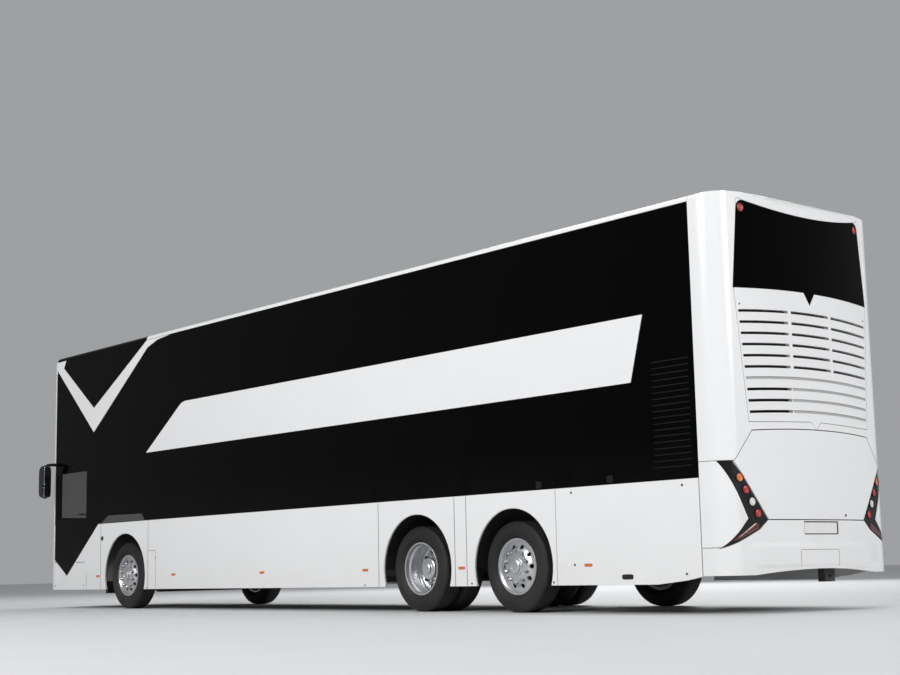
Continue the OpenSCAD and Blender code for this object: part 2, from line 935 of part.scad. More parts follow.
module middle_door() {
  door_leaf(middle_door_x);
}

module middle_door_arm() {
  door_swing(middle_door_x);
}

// Instrument desk with the steering wheel on its column
module dashboard() {
  x = nose_joint - 560;
  wheel = [x - 150, 740, 1130];
  color("#202224") {
    translate([x, -380, lower_floor_z + seat]) cube([430, 1540, 620]);
    translate([x, 350, lower_floor_z + 500]) cube([260, 800, 230]);
    translate(wheel) rotate([0, -28, 0]) {
      rotate_extrude() translate([215, 0]) circle(r = 14);
      for (a = [30, 150, 270]) rotate(a) translate([20, -14, -8]) cube([190, 28, 16]);
      translate([0, 0, -14]) cylinder(r = 45, h = 28);
      translate([0, 0, -340]) cylinder(r = 30, h = 335);
    }
  }
}

// Pair of seats: cushion on its base with the back behind
module seat_pair(x, s, floor_z, w) {
  on_side(s) translate([x, seat_y - w/2, floor_z + seat])
    rotate([90, 0, 0]) mirror([0, 0, 1]) linear_extrude(w)
      polygon([[60, 0], [400, 0], [470, 300], [470, 440], [130, 420], [0, 1060], [-90, 1040], [20, 320]]);
}

module lower_seats() {
  color("darkslategray") {
    for (k = [0 : lower_seat_rows - 1]) {
      seat_pair(at(6650) + k*seat_pitch, -1, lower_floor_z, seat_w);
      if (k < 2) seat_pair(at(7500) + k*seat_pitch, 1, lower_floor_z, seat_w);
    }
    translate([nose_joint - 1500, 0, 0]) seat_pair(0, 1, lower_floor_z, 520);
  }
}

module upper_seats() {
  color("darkslategray") for (k = [0 : upper_seat_rows - 1]) {
    x = at(420) + k*seat_pitch;
    seat_pair(x, -1, upper_floor_z, seat_w);
    blocked = [for (row = stair_rows)
      if (x + 480 > row[0] - 60 && x - 100 < row[0] + stair_steps*stair_tread + 60) 1];
    if (len(blocked) == 0) seat_pair(x, 1, upper_floor_z, seat_w);
  }
}

// Engine over the tail with the cooling pack behind the louvres
module engine() {
  color("#4a4c4e") {
    translate([at(350), -400, 830]) cube([1450, 800, 300]);
    translate([at(350), -390, 420]) cube([1450, 780, 430]);
    for (d = [520, 1520]) translate([at(d), -rail_in_y + seat, 660]) cube([120, 2*(rail_in_y - seat), 80]);
    translate([at(-60), -half_w + wall + 30 + seat, 1800]) cube([80, body_w - 2*(wall + 30 + seat), 1000]);
  }
}

// Dropped beam with an upright eye for each kingpin
module front_axle() {
  color("#3a3c3e") difference() {
    union() {
      cross_prism(front_x - 45, front_x + 45) polygon([
        [-700, 230], [700, 230], [king_y - 50, axle_z - 60], [king_y, axle_z - 60],
        [king_y, axle_z + 60], [king_y - 90, axle_z + 60], [620, 318], [-620, 318],
        [-king_y + 90, axle_z + 60], [-king_y, axle_z + 60], [-king_y, axle_z - 60],
        [-king_y + 50, axle_z - 60],
      ]);
      for (s = [-1, 1]) {
        translate([front_x, s*king_y, axle_z - 80]) cylinder(r = 55, h = 160);
        translate([front_x, s*rail_y, 300]) cylinder(r = 40, h = low_z - seat - 300);
      }
    }
    for (s = [-1, 1]) translate([front_x, s*king_y, axle_z - 100]) cylinder(r = king_r + seat, h = 200);
  }
}

// Steering knuckle: kingpin held by a yoke, with the spindle for the wheel
module knuckle() {
  color("#3a3c3e") translate([front_x, king_y, axle_z]) {
    translate([0, 0, -112]) cylinder(r = king_r, h = 224);
    for (z = [-112, 88]) {
      translate([0, 0, z]) cylinder(r = 50, h = 24);
      translate([-50, 0, z]) cube([100, 100, 24]);
    }
    translate([-50, 65, -112]) cube([100, 36, 224]);
    translate([0, 90, 0]) rotate([-90, 0, 0]) cylinder(r = hub_r, h = 165);
  }
}

module knuckle_left() {
  knuckle();
}

module knuckle_right() {
  on_side(-1) knuckle();
}

// Straight axle tube with stub ends that carry the wheels, and springs below the high rails
module rear_axle(x, tube_r, stub_y) {
  for (s = [-1, 1]) translate([x, s*rail_y, axle_z]) cylinder(r = 70, h = high_z - seat - axle_z);
  translate([x, 0, axle_z]) rotate([90, 0, 0]) {
    cylinder(r = tube_r, h = 2*stub_y - 360, center = true);
    cylinder(r = hub_r, h = 2*stub_y, center = true);
  }
}

module drive_axle() {
  color("#3a3c3e") {
    rear_axle(drive_x, 85, wheel_y - 10);
    translate([drive_x, 0, axle_z]) sphere(r = 150);
    translate([drive_x - 300, 0, axle_z]) rotate([0, 90, 0]) cylinder(r = 60, h = 300);
  }
}

module tag_axle() {
  color("#3a3c3e") rear_axle(tag_x, 75, wheel_y + 125);
}

// Tyre cross-section: radius across, width up, bead seated between the rim's flanges
module tyre_section() {
  r = tyre_d/2;
  w = tyre_w/2;
  b = bead_r + seat;
  difference() {
    polygon([[b, w - 42], [b + 60, w - 6], [r - 120, w], [r - 30, w - 14], [r - 4, w - 34], [r, w - 70],
      [r, -w + 70], [r - 4, -w + 34], [r - 30, -w + 14], [r - 120, -w], [b + 60, -w + 6], [b, -w + 42]]);
    polygon([[b - 1, w - 75], [b + 60, w - 30], [r - 60, w - 40], [r - 40, 0], [r - 60, -w + 40],
      [b + 60, -w + 30], [b - 1, -w + 75]]);
  }
}

module tyre(x, y) {
  translate([x, y, axle_z]) rotate([90, 0, 0]) rotate_extrude($fn = 96) tyre_section();
}

// Rim barrel with its flanges: radius across, width up
module barrel_section() {
  w = tyre_w/2 - 28;
  b = bead_r;
  polygon([[b + 10, w], [b + 10, w - 5], [b, w - 11], [b, w - 50], [b - 16, w - 70], [b - 16, -w + 70],
    [b, -w + 50], [b, -w + 11], [b + 10, -w + 5], [b + 10, -w], [b - 8, -w], [b - 8, -w + 48],
    [b - 24, -w + 68], [b - 24, w - 68], [b - 8, w - 48], [b - 8, w]]);
}

// Dished disc: raised outwards on single wheels, sunk inwards on twins
module disc_section(face) {
  bore = hub_r + seat;
  edge = bead_r - 4;
  polygon([[bore, face], [110, face], [175, face - 12], [215, face - 40], [edge, face - 52],
    [edge, face - 66], [210, face - 56], [168, face - 28], [105, face - 16], [bore, face - 16]]);
}

module rim_holes(face) {
  for (a = [0 : 36 : 324]) rotate(a) translate([212, 0, face - 80]) cylinder(r = 24, h = 80, $fn = 32);
}

// Single wheel with its disc near the outer side
module single_rim(x, y) {
  face = 128;
  translate([x, y, axle_z]) rotate([-90, 0, 0]) difference() {
    rotate_extrude($fn = 96) {
      barrel_section();
      disc_section(face);
    }
    rim_holes(face);
  }
}

// Twin wheel: two barrels joined back to back by their discs
module twin_rim(x) {
  middle = -twin_gap/2;
  bore = hub_r + seat;
  edge = bead_r - 4;
  translate([x, wheel_y, axle_z]) rotate([-90, 0, 0]) difference() {
    rotate_extrude($fn = 96) {
      barrel_section();
      translate([0, -twin_gap]) barrel_section();
      polygon([[bore, middle + 14], [180, middle + 14], [215, middle + 60], [edge, middle + 70],
        [edge, middle + 54], [225, middle + 44], [190, middle], [225, middle - 44], [edge, middle - 54],
        [edge, middle - 70], [215, middle - 60], [180, middle - 14], [bore, middle - 14]]);
    }
    for (a = [0 : 36 : 324]) rotate(a)
      translate([205, 0, middle - 80]) cylinder(r = 24, h = 160, $fn = 32);
  }
}

module tyre_front_left() {
  color("#1a1a1a") tyre(front_x, wheel_y);
}

module tyre_front_right() {
  color("#1a1a1a") on_side(-1) tyre(front_x, wheel_y);
}

module tyre_drive_left() {
  color("#1a1a1a") for (y = [wheel_y, wheel_y - twin_gap]) tyre(drive_x, y);
}

module tyre_drive_right() {
  color("#1a1a1a") on_side(-1) for (y = [wheel_y, wheel_y - twin_gap]) tyre(drive_x, y);
}

module tyre_tag_left() {
  color("#1a1a1a") tyre(tag_x, wheel_y);
}

module tyre_tag_right() {
  color("#1a1a1a") on_side(-1) tyre(tag_x, wheel_y);
}

module rim_front_left() {
  color("silver") single_rim(front_x, wheel_y);
}

module rim_front_right() {
  color("silver") on_side(-1) single_rim(front_x, wheel_y);
}

module rim_drive_left() {
  color("silver") twin_rim(drive_x);
}

module rim_drive_right() {
  color("silver") on_side(-1) twin_rim(drive_x);
}

module rim_tag_left() {
  color("silver") single_rim(tag_x, wheel_y);
}

module rim_tag_right() {
  color("silver") on_side(-1) single_rim(tag_x, wheel_y);
}

underframe();
lower_floor();
upper_floor();
stairs();
side_wall_left();
side_wall_right();
front_pillars();
rear_pillars();
roof();
front_dome();
front_brow();
front_mask();
windscreens();
glazing_left();
glazing_right();
white_bands();
skirt_left();
skirt_right();
flap_left();
flap_right();
rear_shell();
rear_window();
louvre_panel();
engine_lid();
rear_corners();
rear_bumper();
tail_lamps();
tail_lenses();
number_plate();
headlamps();
mirror_left();
mirror_right();
front_door();
front_door_arm();
middle_door();
middle_door_arm();
dashboard();
lower_seats();
upper_seats();
engine();
front_axle();
knuckle_left();
knuckle_right();
drive_axle();
tag_axle();
tyre_front_left();
tyre_front_right();
tyre_drive_left();
tyre_drive_right();
tyre_tag_left();
tyre_tag_right();
rim_front_left();
rim_front_right();
rim_drive_left();
rim_drive_right();
rim_tag_left();
rim_tag_right();
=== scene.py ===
import logging
import math
from dataclasses import dataclass
from enum import Enum, auto
from functools import cache
from typing import Callable, ClassVar, Iterable, Sequence

import bmesh
import bpy
import numpy as np
from mathutils import Matrix, Vector


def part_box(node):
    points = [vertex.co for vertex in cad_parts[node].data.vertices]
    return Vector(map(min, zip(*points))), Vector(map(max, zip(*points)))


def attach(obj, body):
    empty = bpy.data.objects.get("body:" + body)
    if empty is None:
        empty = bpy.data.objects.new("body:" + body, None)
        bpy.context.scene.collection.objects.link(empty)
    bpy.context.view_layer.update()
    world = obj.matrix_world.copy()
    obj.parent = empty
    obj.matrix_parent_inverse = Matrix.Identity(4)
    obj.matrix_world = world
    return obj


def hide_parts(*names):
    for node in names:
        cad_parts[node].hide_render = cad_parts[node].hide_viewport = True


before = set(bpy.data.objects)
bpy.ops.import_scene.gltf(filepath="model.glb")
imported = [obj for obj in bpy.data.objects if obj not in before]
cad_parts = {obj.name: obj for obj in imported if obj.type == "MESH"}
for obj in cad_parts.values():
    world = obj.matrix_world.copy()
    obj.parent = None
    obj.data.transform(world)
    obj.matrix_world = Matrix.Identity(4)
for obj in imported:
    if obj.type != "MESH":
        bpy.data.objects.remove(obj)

LOG = logging.getLogger("coach")
Vec = tuple[float, float, float]
Colour = tuple[float, float, float]
Point = tuple[float, float]
Profile = Sequence[Point]
Socket = bpy.types.NodeSocket

BODY = "coach"
ALONG: Vec = (1, 0, 0)
ACROSS: Vec = (0, 1, 0)
UP: Vec = (0, 0, 1)
MM_PER_M = 1000
# Radius of the rings that close an end, in metres
POLE = 1e-5


class Named(Enum):
    """Options whose names are part of the names of nodes, bodies and pieces."""

    @property
    def word(self) -> str:
        """The option's name in small letters."""
        return self.name.lower()


class Side(Named):
    """Sides of the coach, with the sign of their Y."""

    LEFT = 1
    RIGHT = -1


class Axle(Named):
    """Axles from front to rear, with their place along the body in metres."""

    FRONT = 4.460
    DRIVE = -2.425
    TAG = -4.045


class Deck(Named):
    """Decks, with the height of their floors in metres."""

    UPPER = 2.2503
    LOWER = 0.4203


class Lens(Named):
    """Colours of the tail's lenses."""

    AMBER = auto()
    RED = auto()
    WHITE = auto()


@dataclass(frozen=True)
class Shell:
    """Sizes of the body that its fittings are placed by, in metres."""

    half_w: float = 1.275
    x_tail: float = -7.075
    x_nose: float = 7.075
    tail_side: float = 0.415
    tail_bulge: float = 6.1
    tail_corner: float = 0.26
    tail_drop: float = 0.088
    corner_from: float = 1.04
    nose_bulge: float = 7.0
    nose_corner: float = 0.24
    nose_drop: float = 0.079
    nose_rake_r: float = 14.0
    nose_rake_z: float = 1.25
    axle_z: float = 0.48
    wheel_y: float = 1.1025
    arch_r: float = 0.616

    @property
    def rear_joint(self) -> float:
        """Place of the tail's side joint."""
        return self.x_tail + self.tail_side

    @property
    def nose_joint(self) -> float:
        """Place of the nose's side joint."""
        return self.x_nose - self.nose_drop - self.nose_corner

    def at(self, d: float) -> float:
        """Place along the body, measured in millimetres forwards from the tail's side joint."""
        return self.rear_joint + d/MM_PER_M

    def tail_x(self, y: np.ndarray | float) -> np.ndarray:
        """Outer face of the tail: X = tail + R - sqrt(R^2 - y^2), and the corner's arc outside it.

        Args:
            y: Place across the body.

        Returns:
            X of the face, in the shape of y.
        """
        a = np.abs(np.asarray(y, float))
        centre_y = self.half_w - self.tail_corner
        bulge = self.x_tail + self.tail_bulge - np.sqrt(self.tail_bulge**2 - a**2)
        over = np.clip(a - centre_y, 0, self.tail_corner)
        corner = self.x_tail + self.tail_drop + self.tail_corner - np.sqrt(self.tail_corner**2 - over**2)
        return np.where(a > centre_y*self.corner_from, corner, bulge)

    def nose_x(self, y: np.ndarray | float, z: np.ndarray | float) -> np.ndarray:
        """Outer face of the nose: the lesser of the plan's bulge and the side view's rake.

        Args:
            y: Place across the body.
            z: Height.

        Returns:
            X of the face, in the shape of y and z.
        """
        a = np.abs(np.asarray(y, float))
        h = np.asarray(z, float) - self.nose_rake_z
        bulge = self.x_nose - self.nose_bulge + np.sqrt(self.nose_bulge**2 - a**2)
        rake = self.x_nose - self.nose_rake_r + np.sqrt(self.nose_rake_r**2 - h**2)
        return np.minimum(bulge, rake)


SHELL = Shell()


@dataclass
class Surface:
    """Vertices, four-sided faces and the faces' UVs of a built surface."""

    verts: np.ndarray
    quads: np.ndarray
    uvs: np.ndarray


def grid(points: np.ndarray, wrap_u: bool = False) -> Surface:
    """Faces over a table of points.

    Args:
        points: Points of the surface, shape (nu, nv, 3).
        wrap_u: Whether the last row joins the first.

    Returns:
        The surface, with u and v from 0 to 1 as its UVs.
    """
    nu, nv = points.shape[:2]
    i, j = np.meshgrid(np.arange(nu - (not wrap_u)), np.arange(nv - 1), indexing="ij")
    steps = ((0, 0), (1, 0), (1, 1), (0, 1))
    quads = np.stack([((i + a) % nu)*nv + j + b for a, b in steps], -1).reshape(-1, 4)
    uvs = np.stack([np.stack([(i + a)/nu, (j + b)/nv], -1) for a, b in steps], -2).reshape(-1, 4, 2)
    return Surface(points.reshape(-1, 3), quads, uvs)


def table(u: np.ndarray, v: np.ndarray) -> tuple[np.ndarray, np.ndarray]:
    """Both parameters of a grid, over all their pairs."""
    return tuple(np.meshgrid(u, v, indexing="ij"))


def merge(parts: Iterable[Surface]) -> Surface:
    """All the surfaces as one.

    Args:
        parts: Surfaces to join; they share no vertices afterwards.

    Returns:
        One surface with every vertex and face.
    """
    parts = list(parts)
    starts = np.cumsum([0] + [len(p.verts) for p in parts[:-1]])
    return Surface(
        np.concatenate([p.verts for p in parts]),
        np.concatenate([p.quads + s for p, s in zip(parts, starts)]),
        np.concatenate([p.uvs for p in parts]),
    )


def ease(t: np.ndarray) -> np.ndarray:
    """Soft step t^2 (3 - 2t) for t from 0 to 1."""
    return t*t*(3 - 2*t)


@dataclass(frozen=True)
class Place:
    """A point with two axes along a face and one out of it."""

    origin: Vec
    u: Vec
    v: Vec
    n: Vec

    def points(self, a: np.ndarray, b: np.ndarray, c: np.ndarray) -> np.ndarray:
        """Points o + a u + b v + c n.

        Args:
            a: Distances along u.
            b: Distances along v.
            c: Distances out of the face.

        Returns:
            The points, with a last axis of 3.
        """
        axes = (np.asarray(self.u), np.asarray(self.v), np.asarray(self.n))
        return np.asarray(self.origin) + sum(k[..., None]*axis for k, axis in zip((a, b, c), axes))

    def shifted(self, a: float, b: float, c: float) -> "Place":
        """The same axes at the point o + a u + b v + c n."""
        return Place(tuple(self.points(*np.array([a, b, c], float))), self.u, self.v, self.n)

    @staticmethod
    def flank(x: float, z: float, side: Side, y: float = SHELL.half_w) -> "Place":
        """Place on a flank, facing outwards."""
        return Place((x, side.value*y, z), ALONG, UP, (0, side.value, 0))

    @staticmethod
    def _curved(face: Callable[[float], np.ndarray], spot: Point, inset: float, out: int) -> "Place":
        """Place on a face X = f(y), with the normal out (1, -f', 0) made one long.

        Args:
            face: X of the face at y.
            spot: Place across the body and height.
            inset: Distance that the place lies behind the face.
            out: Sign of X outwards.

        Returns:
            The place, facing outwards.
        """
        y, z = spot
        step = 1e-4
        slope = float(face(y + step) - face(y - step))/(2*step)
        k = 1/math.hypot(1, slope)
        normal = (out*k, -out*k*slope, 0.0)
        origin = (float(face(y)) - normal[0]*inset, y - normal[1]*inset, z)
        return Place(origin, (k*slope, k, 0), UP, normal)

    @staticmethod
    def tail(y: float, z: float) -> "Place":
        """Place on the curved tail, facing outwards."""
        return Place._curved(SHELL.tail_x, (y, z), 0.0, -1)

    @staticmethod
    def nose(y: float, z: float, inset: float) -> "Place":
        """Place behind the curved nose, facing outwards."""
        return Place._curved(lambda k: SHELL.nose_x(k, z), (y, z), inset, 1)

    @staticmethod
    def wheel(axle: Axle, side: Side) -> "Place":
        """Middle of a wheel, with the axis pointing outwards."""
        middle = (axle.value, side.value*SHELL.wheel_y, SHELL.axle_z)
        return Place(middle, ALONG, UP, (0, side.value, 0))


def revolve(place: Place, profile: Profile, segments: int = 48) -> Surface:
    """Surface of revolution: P(t, s) = o + r(s)(cos t u + sin t v) + h(s) n.

    Args:
        place: Centre and axes; the surface turns about n.
        profile: Radius and height of each ring, from one end to the other.
        segments: Faces round the axis.

    Returns:
        The surface, closed round its axis.
    """
    r, h = np.asarray(profile, float).T
    a, rr = table(np.arange(segments)*2*np.pi/segments, np.maximum(r, POLE))
    return grid(place.points(rr*np.cos(a), rr*np.sin(a), np.broadcast_to(h, rr.shape)), wrap_u=True)


def raised(profile: Profile, height: float) -> list[Point]:
    """The same rings, set at another height."""
    return [(r, height + h) for r, h in profile]


def squared(t: np.ndarray, power: float) -> tuple[np.ndarray, np.ndarray]:
    """Outline |a|^p + |b|^p = 1 of a rounded square.

    Args:
        t: Angles from the middle.
        power: The exponent p; 2 is a circle, more is squarer.

    Returns:
        Both coordinates of the outline at these angles.
    """
    c, s = np.cos(t), np.sin(t)
    edge = (np.abs(c)**power + np.abs(s)**power)**(-1/power)
    return edge*c, edge*s


@dataclass(frozen=True)
class Button:
    """Low plate with rounded corners and a soft edge, open at its back."""

    w: float
    h: float
    proud: float
    power: float = 4.0
    segments: int = 40

    # Size of each ring as a share of the outline, and its height as a share of the plate's
    RINGS: ClassVar[tuple[float, ...]] = (1.0, 1.0, 0.985, 0.95, 0.88, 0.6, 0.3, 0.001)
    RISE: ClassVar[tuple[float, ...]] = (-0.3, 0.3, 0.7, 0.9, 1.0, 1.0, 1.0, 1.0)

    def on(self, place: Place) -> Surface:
        """The plate: rings of |a/w|^p + |b/h|^p = 1 that rise from the edge to the middle.

        Args:
            place: Middle of the plate on its face.

        Returns:
            The plate's surface.
        """
        c, s = squared((np.arange(self.segments) + 0.5)*2*np.pi/self.segments, self.power)
        a = np.outer(c*self.w/2, self.RINGS)
        b = np.outer(s*self.h/2, self.RINGS)
        rise = self.proud*np.array(self.RISE)
        return grid(place.points(a, b, np.broadcast_to(rise, a.shape)), wrap_u=True)

    def on_flank(self, side: Side, spots: Iterable[Point]) -> Surface:
        """One plate at each spot of a flank.

        Args:
            side: The flank.
            spots: Distance from the tail's joint in millimetres and height in metres.

        Returns:
            All the plates as one surface.
        """
        return merge(self.on(Place.flank(SHELL.at(d), z, side)) for d, z in spots)


def tube(path: Sequence[Vec] | np.ndarray, radius: float | Sequence[float] | np.ndarray, segments: int = 12,
         flat: float = 1.0) -> Surface:
    """Round or flattened bar along a path.

    Each ring lies across the path's direction d, on the axes e1 = d x z (or d x x) and e2 = d x e1.

    Args:
        path: Points of the middle line, shape (n, 3).
        radius: Radius of all rings, or of each.
        segments: Faces round the bar.
        flat: Ratio of the second axis to the first.

    Returns:
        The bar, closed by narrow end rings.
    """
    steep = 0.9
    path = np.asarray(path, float)
    d = np.gradient(path, axis=0)
    d /= np.linalg.norm(d, axis=1, keepdims=True)
    across = np.where(np.abs(d[:, 2:]) > steep, [ALONG], [UP])
    e1 = np.cross(d, across)
    e1 /= np.linalg.norm(e1, axis=1, keepdims=True)
    e2 = np.cross(d, e1)
    r = np.broadcast_to(np.asarray(radius, float), (len(path),))
    order = np.concatenate([[0], np.arange(len(path)), [len(path) - 1]])
    rr = np.concatenate([[POLE], r, [POLE]])
    t = np.arange(segments)*2*np.pi/segments
    ring = np.cos(t)[:, None, None]*e1[order] + flat*np.sin(t)[:, None, None]*e2[order]
    return grid(path[order] + rr[None, :, None]*ring, wrap_u=True)


@dataclass(frozen=True)
class Pad:
    """Crowned closed pad whose sides pull in between the corners, at a shift from what carries it."""

    size: Vec
    shift: Vec = (0.0, 0.0, 0.0)
    lean: float = 0.0
    square: float = 0.32
    channels: int = 0

    FACES: ClassVar[tuple[int, int]] = (40, 19)
    POLE_ANGLE: ClassVar[float] = 1e-3
    WAIST: ClassVar[float] = 0.04
    CROWN: ClassVar[float] = 0.08
    SEAM_DEPTH: ClassVar[float] = 0.06
    SEAM_POWER: ClassVar[int] = 12
    SEAM_FROM: ClassVar[float] = 0.2

    def _bend(self, k: np.ndarray) -> np.ndarray:
        """Signed power of a cosine or sine."""
        return np.sign(k)*np.abs(k)**self.square

    def on(self, spot: Vec) -> Surface:
        """The pad's surface.

        x = a S(cos f) S(cos t), y = b S(cos f) S(sin t), z = c S(sin f), with S(k) = sign(k)|k|^square;
        the waist pulls in at mid-side, both faces crown, and sewn channels dip the upper face along y.

        Args:
            spot: Point that the pad's shift is measured from.

        Returns:
            The pad, leaned about Y.
        """
        around, over = self.FACES
        top = np.pi/2 - self.POLE_ANGLE
        t, f = table(np.arange(around)*2*np.pi/around, np.linspace(-top, top, over))
        pull = 1 - self.WAIST*np.cos(2*t)**2*np.cos(f)**2
        x = self.size[0]/2*self._bend(np.cos(f))*self._bend(np.cos(t))*pull
        y = self.size[1]/2*self._bend(np.cos(f))*self._bend(np.sin(t))*pull
        z = self.size[2]/2*self._bend(np.sin(f))
        crown = (1 - (2*x/self.size[0])**2)*(1 - (2*y/self.size[1])**2)
        z += np.sign(np.sin(f))*self.CROWN*self.size[2]*crown
        if self.channels:
            dip = np.abs(np.cos(np.pi*self.channels*x/self.size[0]))**self.SEAM_POWER
            z -= np.where(np.sin(f) > self.SEAM_FROM, self.SEAM_DEPTH*self.size[2]*dip, 0)
        c, s = math.cos(self.lean), math.sin(self.lean)
        centre = np.asarray(spot) + np.asarray(self.shift)
        return grid(np.stack([c*x + s*z, y, -s*x + c*z], -1) + centre, wrap_u=True)


def piece(name: str, surface: Surface, finish: "Finish", sharp: float = 35.0,
          body: str = BODY) -> bpy.types.Object:
    """Makes an object of a surface, at the origin, and lets it ride on a body.

    Args:
        name: Name of the object.
        surface: Its vertices, faces and UVs, in the row frame.
        finish: Its finish.
        sharp: Angle in degrees above which edges stay sharp.
        body: Body of the frame that it moves with.

    Returns:
        The new object.
    """
    mesh = bpy.data.meshes.new(name)
    mesh.from_pydata(surface.verts.tolist(), [], surface.quads.tolist())
    mesh.uv_layers.new(name="surface").uv.foreach_set("vector", surface.uvs.astype(np.float32).ravel())
    work = bmesh.new()
    work.from_mesh(mesh)
    bmesh.ops.recalc_face_normals(work, faces=work.faces)
    work.to_mesh(mesh)
    work.free()
    mesh.polygons.foreach_set("use_smooth", np.ones(len(mesh.polygons), bool))
    mesh.set_sharp_from_angle(angle=math.radians(sharp))
    mesh.materials.append(finish.build())
    obj = bpy.data.objects.new(name, mesh)
    bpy.context.scene.collection.objects.link(obj)
    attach(obj, body)
    LOG.info("%s: %d faces on %s", name, len(mesh.polygons), body)
    return obj


class Graph:
    """Adds nodes to a shader tree and joins them."""

    # Places of the factor, both colours and the result among a colour mix's sockets
    MIX_INPUTS: ClassVar[tuple[int, int, int]] = (0, 6, 7)
    MIX_RESULT: ClassVar[int] = 2

    def __init__(self, tree: bpy.types.NodeTree) -> None:
        """Keeps the tree."""
        self.tree = tree

    def add(self, kind: str, inputs: dict[str | int, object] | None = None,
            **settings: object) -> bpy.types.Node:
        """New node of a kind.

        Args:
            kind: Blender's name of the node's type.
            inputs: Value of each input; a socket is linked, any other value is set.
            settings: Properties of the node, set before its inputs.

        Returns:
            The node.
        """
        node = self.tree.nodes.new(kind)
        for key, value in settings.items():
            setattr(node, key, value)
        for key, value in (inputs or {}).items():
            if isinstance(value, Socket):
                self.tree.links.new(value, node.inputs[key])
            else:
                node.inputs[key].default_value = value
        return node

    def place(self) -> Socket:
        """Object coordinates of the shaded point."""
        return self.add("ShaderNodeTexCoord").outputs["Object"]

    def noise(self, scale: float | Socket, detail: float) -> Socket:
        """Value of a noise over the object's coordinates."""
        keys = {"Vector": self.place(), "Scale": scale, "Detail": detail}
        return self.add("ShaderNodeTexNoise", keys).outputs[0]

    def math(self, kind: str, a: float | Socket, b: float | Socket = 0.0) -> Socket:
        """Result of a sum, product or the like of two values or sockets."""
        return self.add("ShaderNodeMath", {0: a, 1: b}, operation=kind).outputs[0]

    def ramp(self, value: Socket, low: float | Socket, high: float | Socket, a: float = 0.0,
             b: float = 1.0) -> Socket:
        """Value stretched from low..high to a..b and clipped."""
        keys = {"Value": value, "From Min": low, "From Max": high, "To Min": a, "To Max": b}
        return self.add("ShaderNodeMapRange", keys).outputs[0]

    def mix(self, factor: Socket, a: Colour | Socket, b: Colour | Socket) -> Socket:
        """Colour between two colours.

        Args:
            factor: Share of the second colour.
            a: First colour.
            b: Second colour.

        Returns:
            The mixed colour.
        """
        colours = [(*c, 1.0) if isinstance(c, tuple) else c for c in (a, b)]
        keys = dict(zip(self.MIX_INPUTS, (factor, *colours)))
        return self.add("ShaderNodeMix", keys, data_type="RGBA").outputs[self.MIX_RESULT]


class Effects:
    """Shader groups that the finishes share, each built once."""

    NUMBER: ClassVar[str] = "NodeSocketFloat"
    VECTOR: ClassVar[str] = "NodeSocketVector"
    BEVEL_SAMPLES: ClassVar[int] = 4
    BUMP_DISTANCE: ClassVar[float] = 0.002

    @staticmethod
    def _group(name: str, inputs: dict[str, float],
               outputs: dict[str, str]) -> tuple[Graph, bpy.types.Node, bpy.types.Node]:
        """New group with number inputs and the named outputs.

        Args:
            name: Name of the group.
            inputs: First value of each input.
            outputs: Socket type of each output.

        Returns:
            The group's graph and its input and output nodes.
        """
        tree = bpy.data.node_groups.new(name, "ShaderNodeTree")
        for key, value in inputs.items():
            socket = tree.interface.new_socket(key, in_out="INPUT", socket_type=Effects.NUMBER)
            socket.default_value = value
        for key, kind in outputs.items():
            tree.interface.new_socket(key, in_out="OUTPUT", socket_type=kind)
        graph = Graph(tree)
        return graph, graph.add("NodeGroupInput"), graph.add("NodeGroupOutput")

    @staticmethod
    @cache
    def dust() -> bpy.types.NodeTree:
        """Road dust that thins out with height: mask = ramp(z) times a noise from 0.35 to 1.

        Returns:
            The group, with its Mask.
        """
        inputs = {"Low": 0.3, "High": 1.0, "Scale": 3.0}
        g, into, out = Effects._group("dust", inputs, {"Mask": Effects.NUMBER})
        height = g.add("ShaderNodeSeparateXYZ", {0: g.place()}).outputs["Z"]
        fade = g.ramp(height, into.outputs["Low"], into.outputs["High"], 1.0, 0.0)
        grainy = g.ramp(g.noise(into.outputs["Scale"], 6.0), 0.35, 0.7, 0.35, 1.0)
        g.tree.links.new(g.math("MULTIPLY", fade, grainy), out.inputs["Mask"])
        return g.tree

    @staticmethod
    @cache
    def grain() -> bpy.types.NodeTree:
        """Fine surface grain over rounded edges.

        Returns:
            The group, with the bumped Normal and the grain's Value.
        """
        inputs = {"Scale": 400.0, "Depth": 0.1, "Edge": 0.004}
        g, into, out = Effects._group("grain", inputs, {"Normal": Effects.VECTOR, "Value": Effects.NUMBER})
        noise = g.noise(into.outputs["Scale"], 3.0)
        soft = g.add("ShaderNodeBevel", {"Radius": into.outputs["Edge"]}, samples=Effects.BEVEL_SAMPLES)
        keys = {
            "Strength": into.outputs["Depth"], "Distance": Effects.BUMP_DISTANCE, "Height": noise,
            "Normal": soft.outputs[0],
        }
        g.tree.links.new(g.add("ShaderNodeBump", keys).outputs[0], out.inputs["Normal"])
        g.tree.links.new(noise, out.inputs["Value"])
        return g.tree

    @staticmethod
    @cache
    def wear() -> bpy.types.NodeTree:
        """Rubbed edges: how far the rounded normal turns from the face, broken up by noise.

        Returns:
            The group, with its Mask.
        """
        g, into, out = Effects._group("wear", {"Radius": 0.006}, {"Mask": Effects.NUMBER})
        soft = g.add("ShaderNodeBevel", {"Radius": into.outputs["Radius"]}, samples=Effects.BEVEL_SAMPLES)
        face = g.add("ShaderNodeNewGeometry").outputs["Normal"]
        dot = g.add("ShaderNodeVectorMath", {0: soft.outputs[0], 1: face}, operation="DOT_PRODUCT")
        edge = g.ramp(dot.outputs["Value"], 0.98, 0.86)
        patches = g.ramp(g.noise(60.0, 5.0), 0.45, 0.65)
        g.tree.links.new(g.math("MULTIPLY", edge, patches), out.inputs["Mask"])
        return g.tree


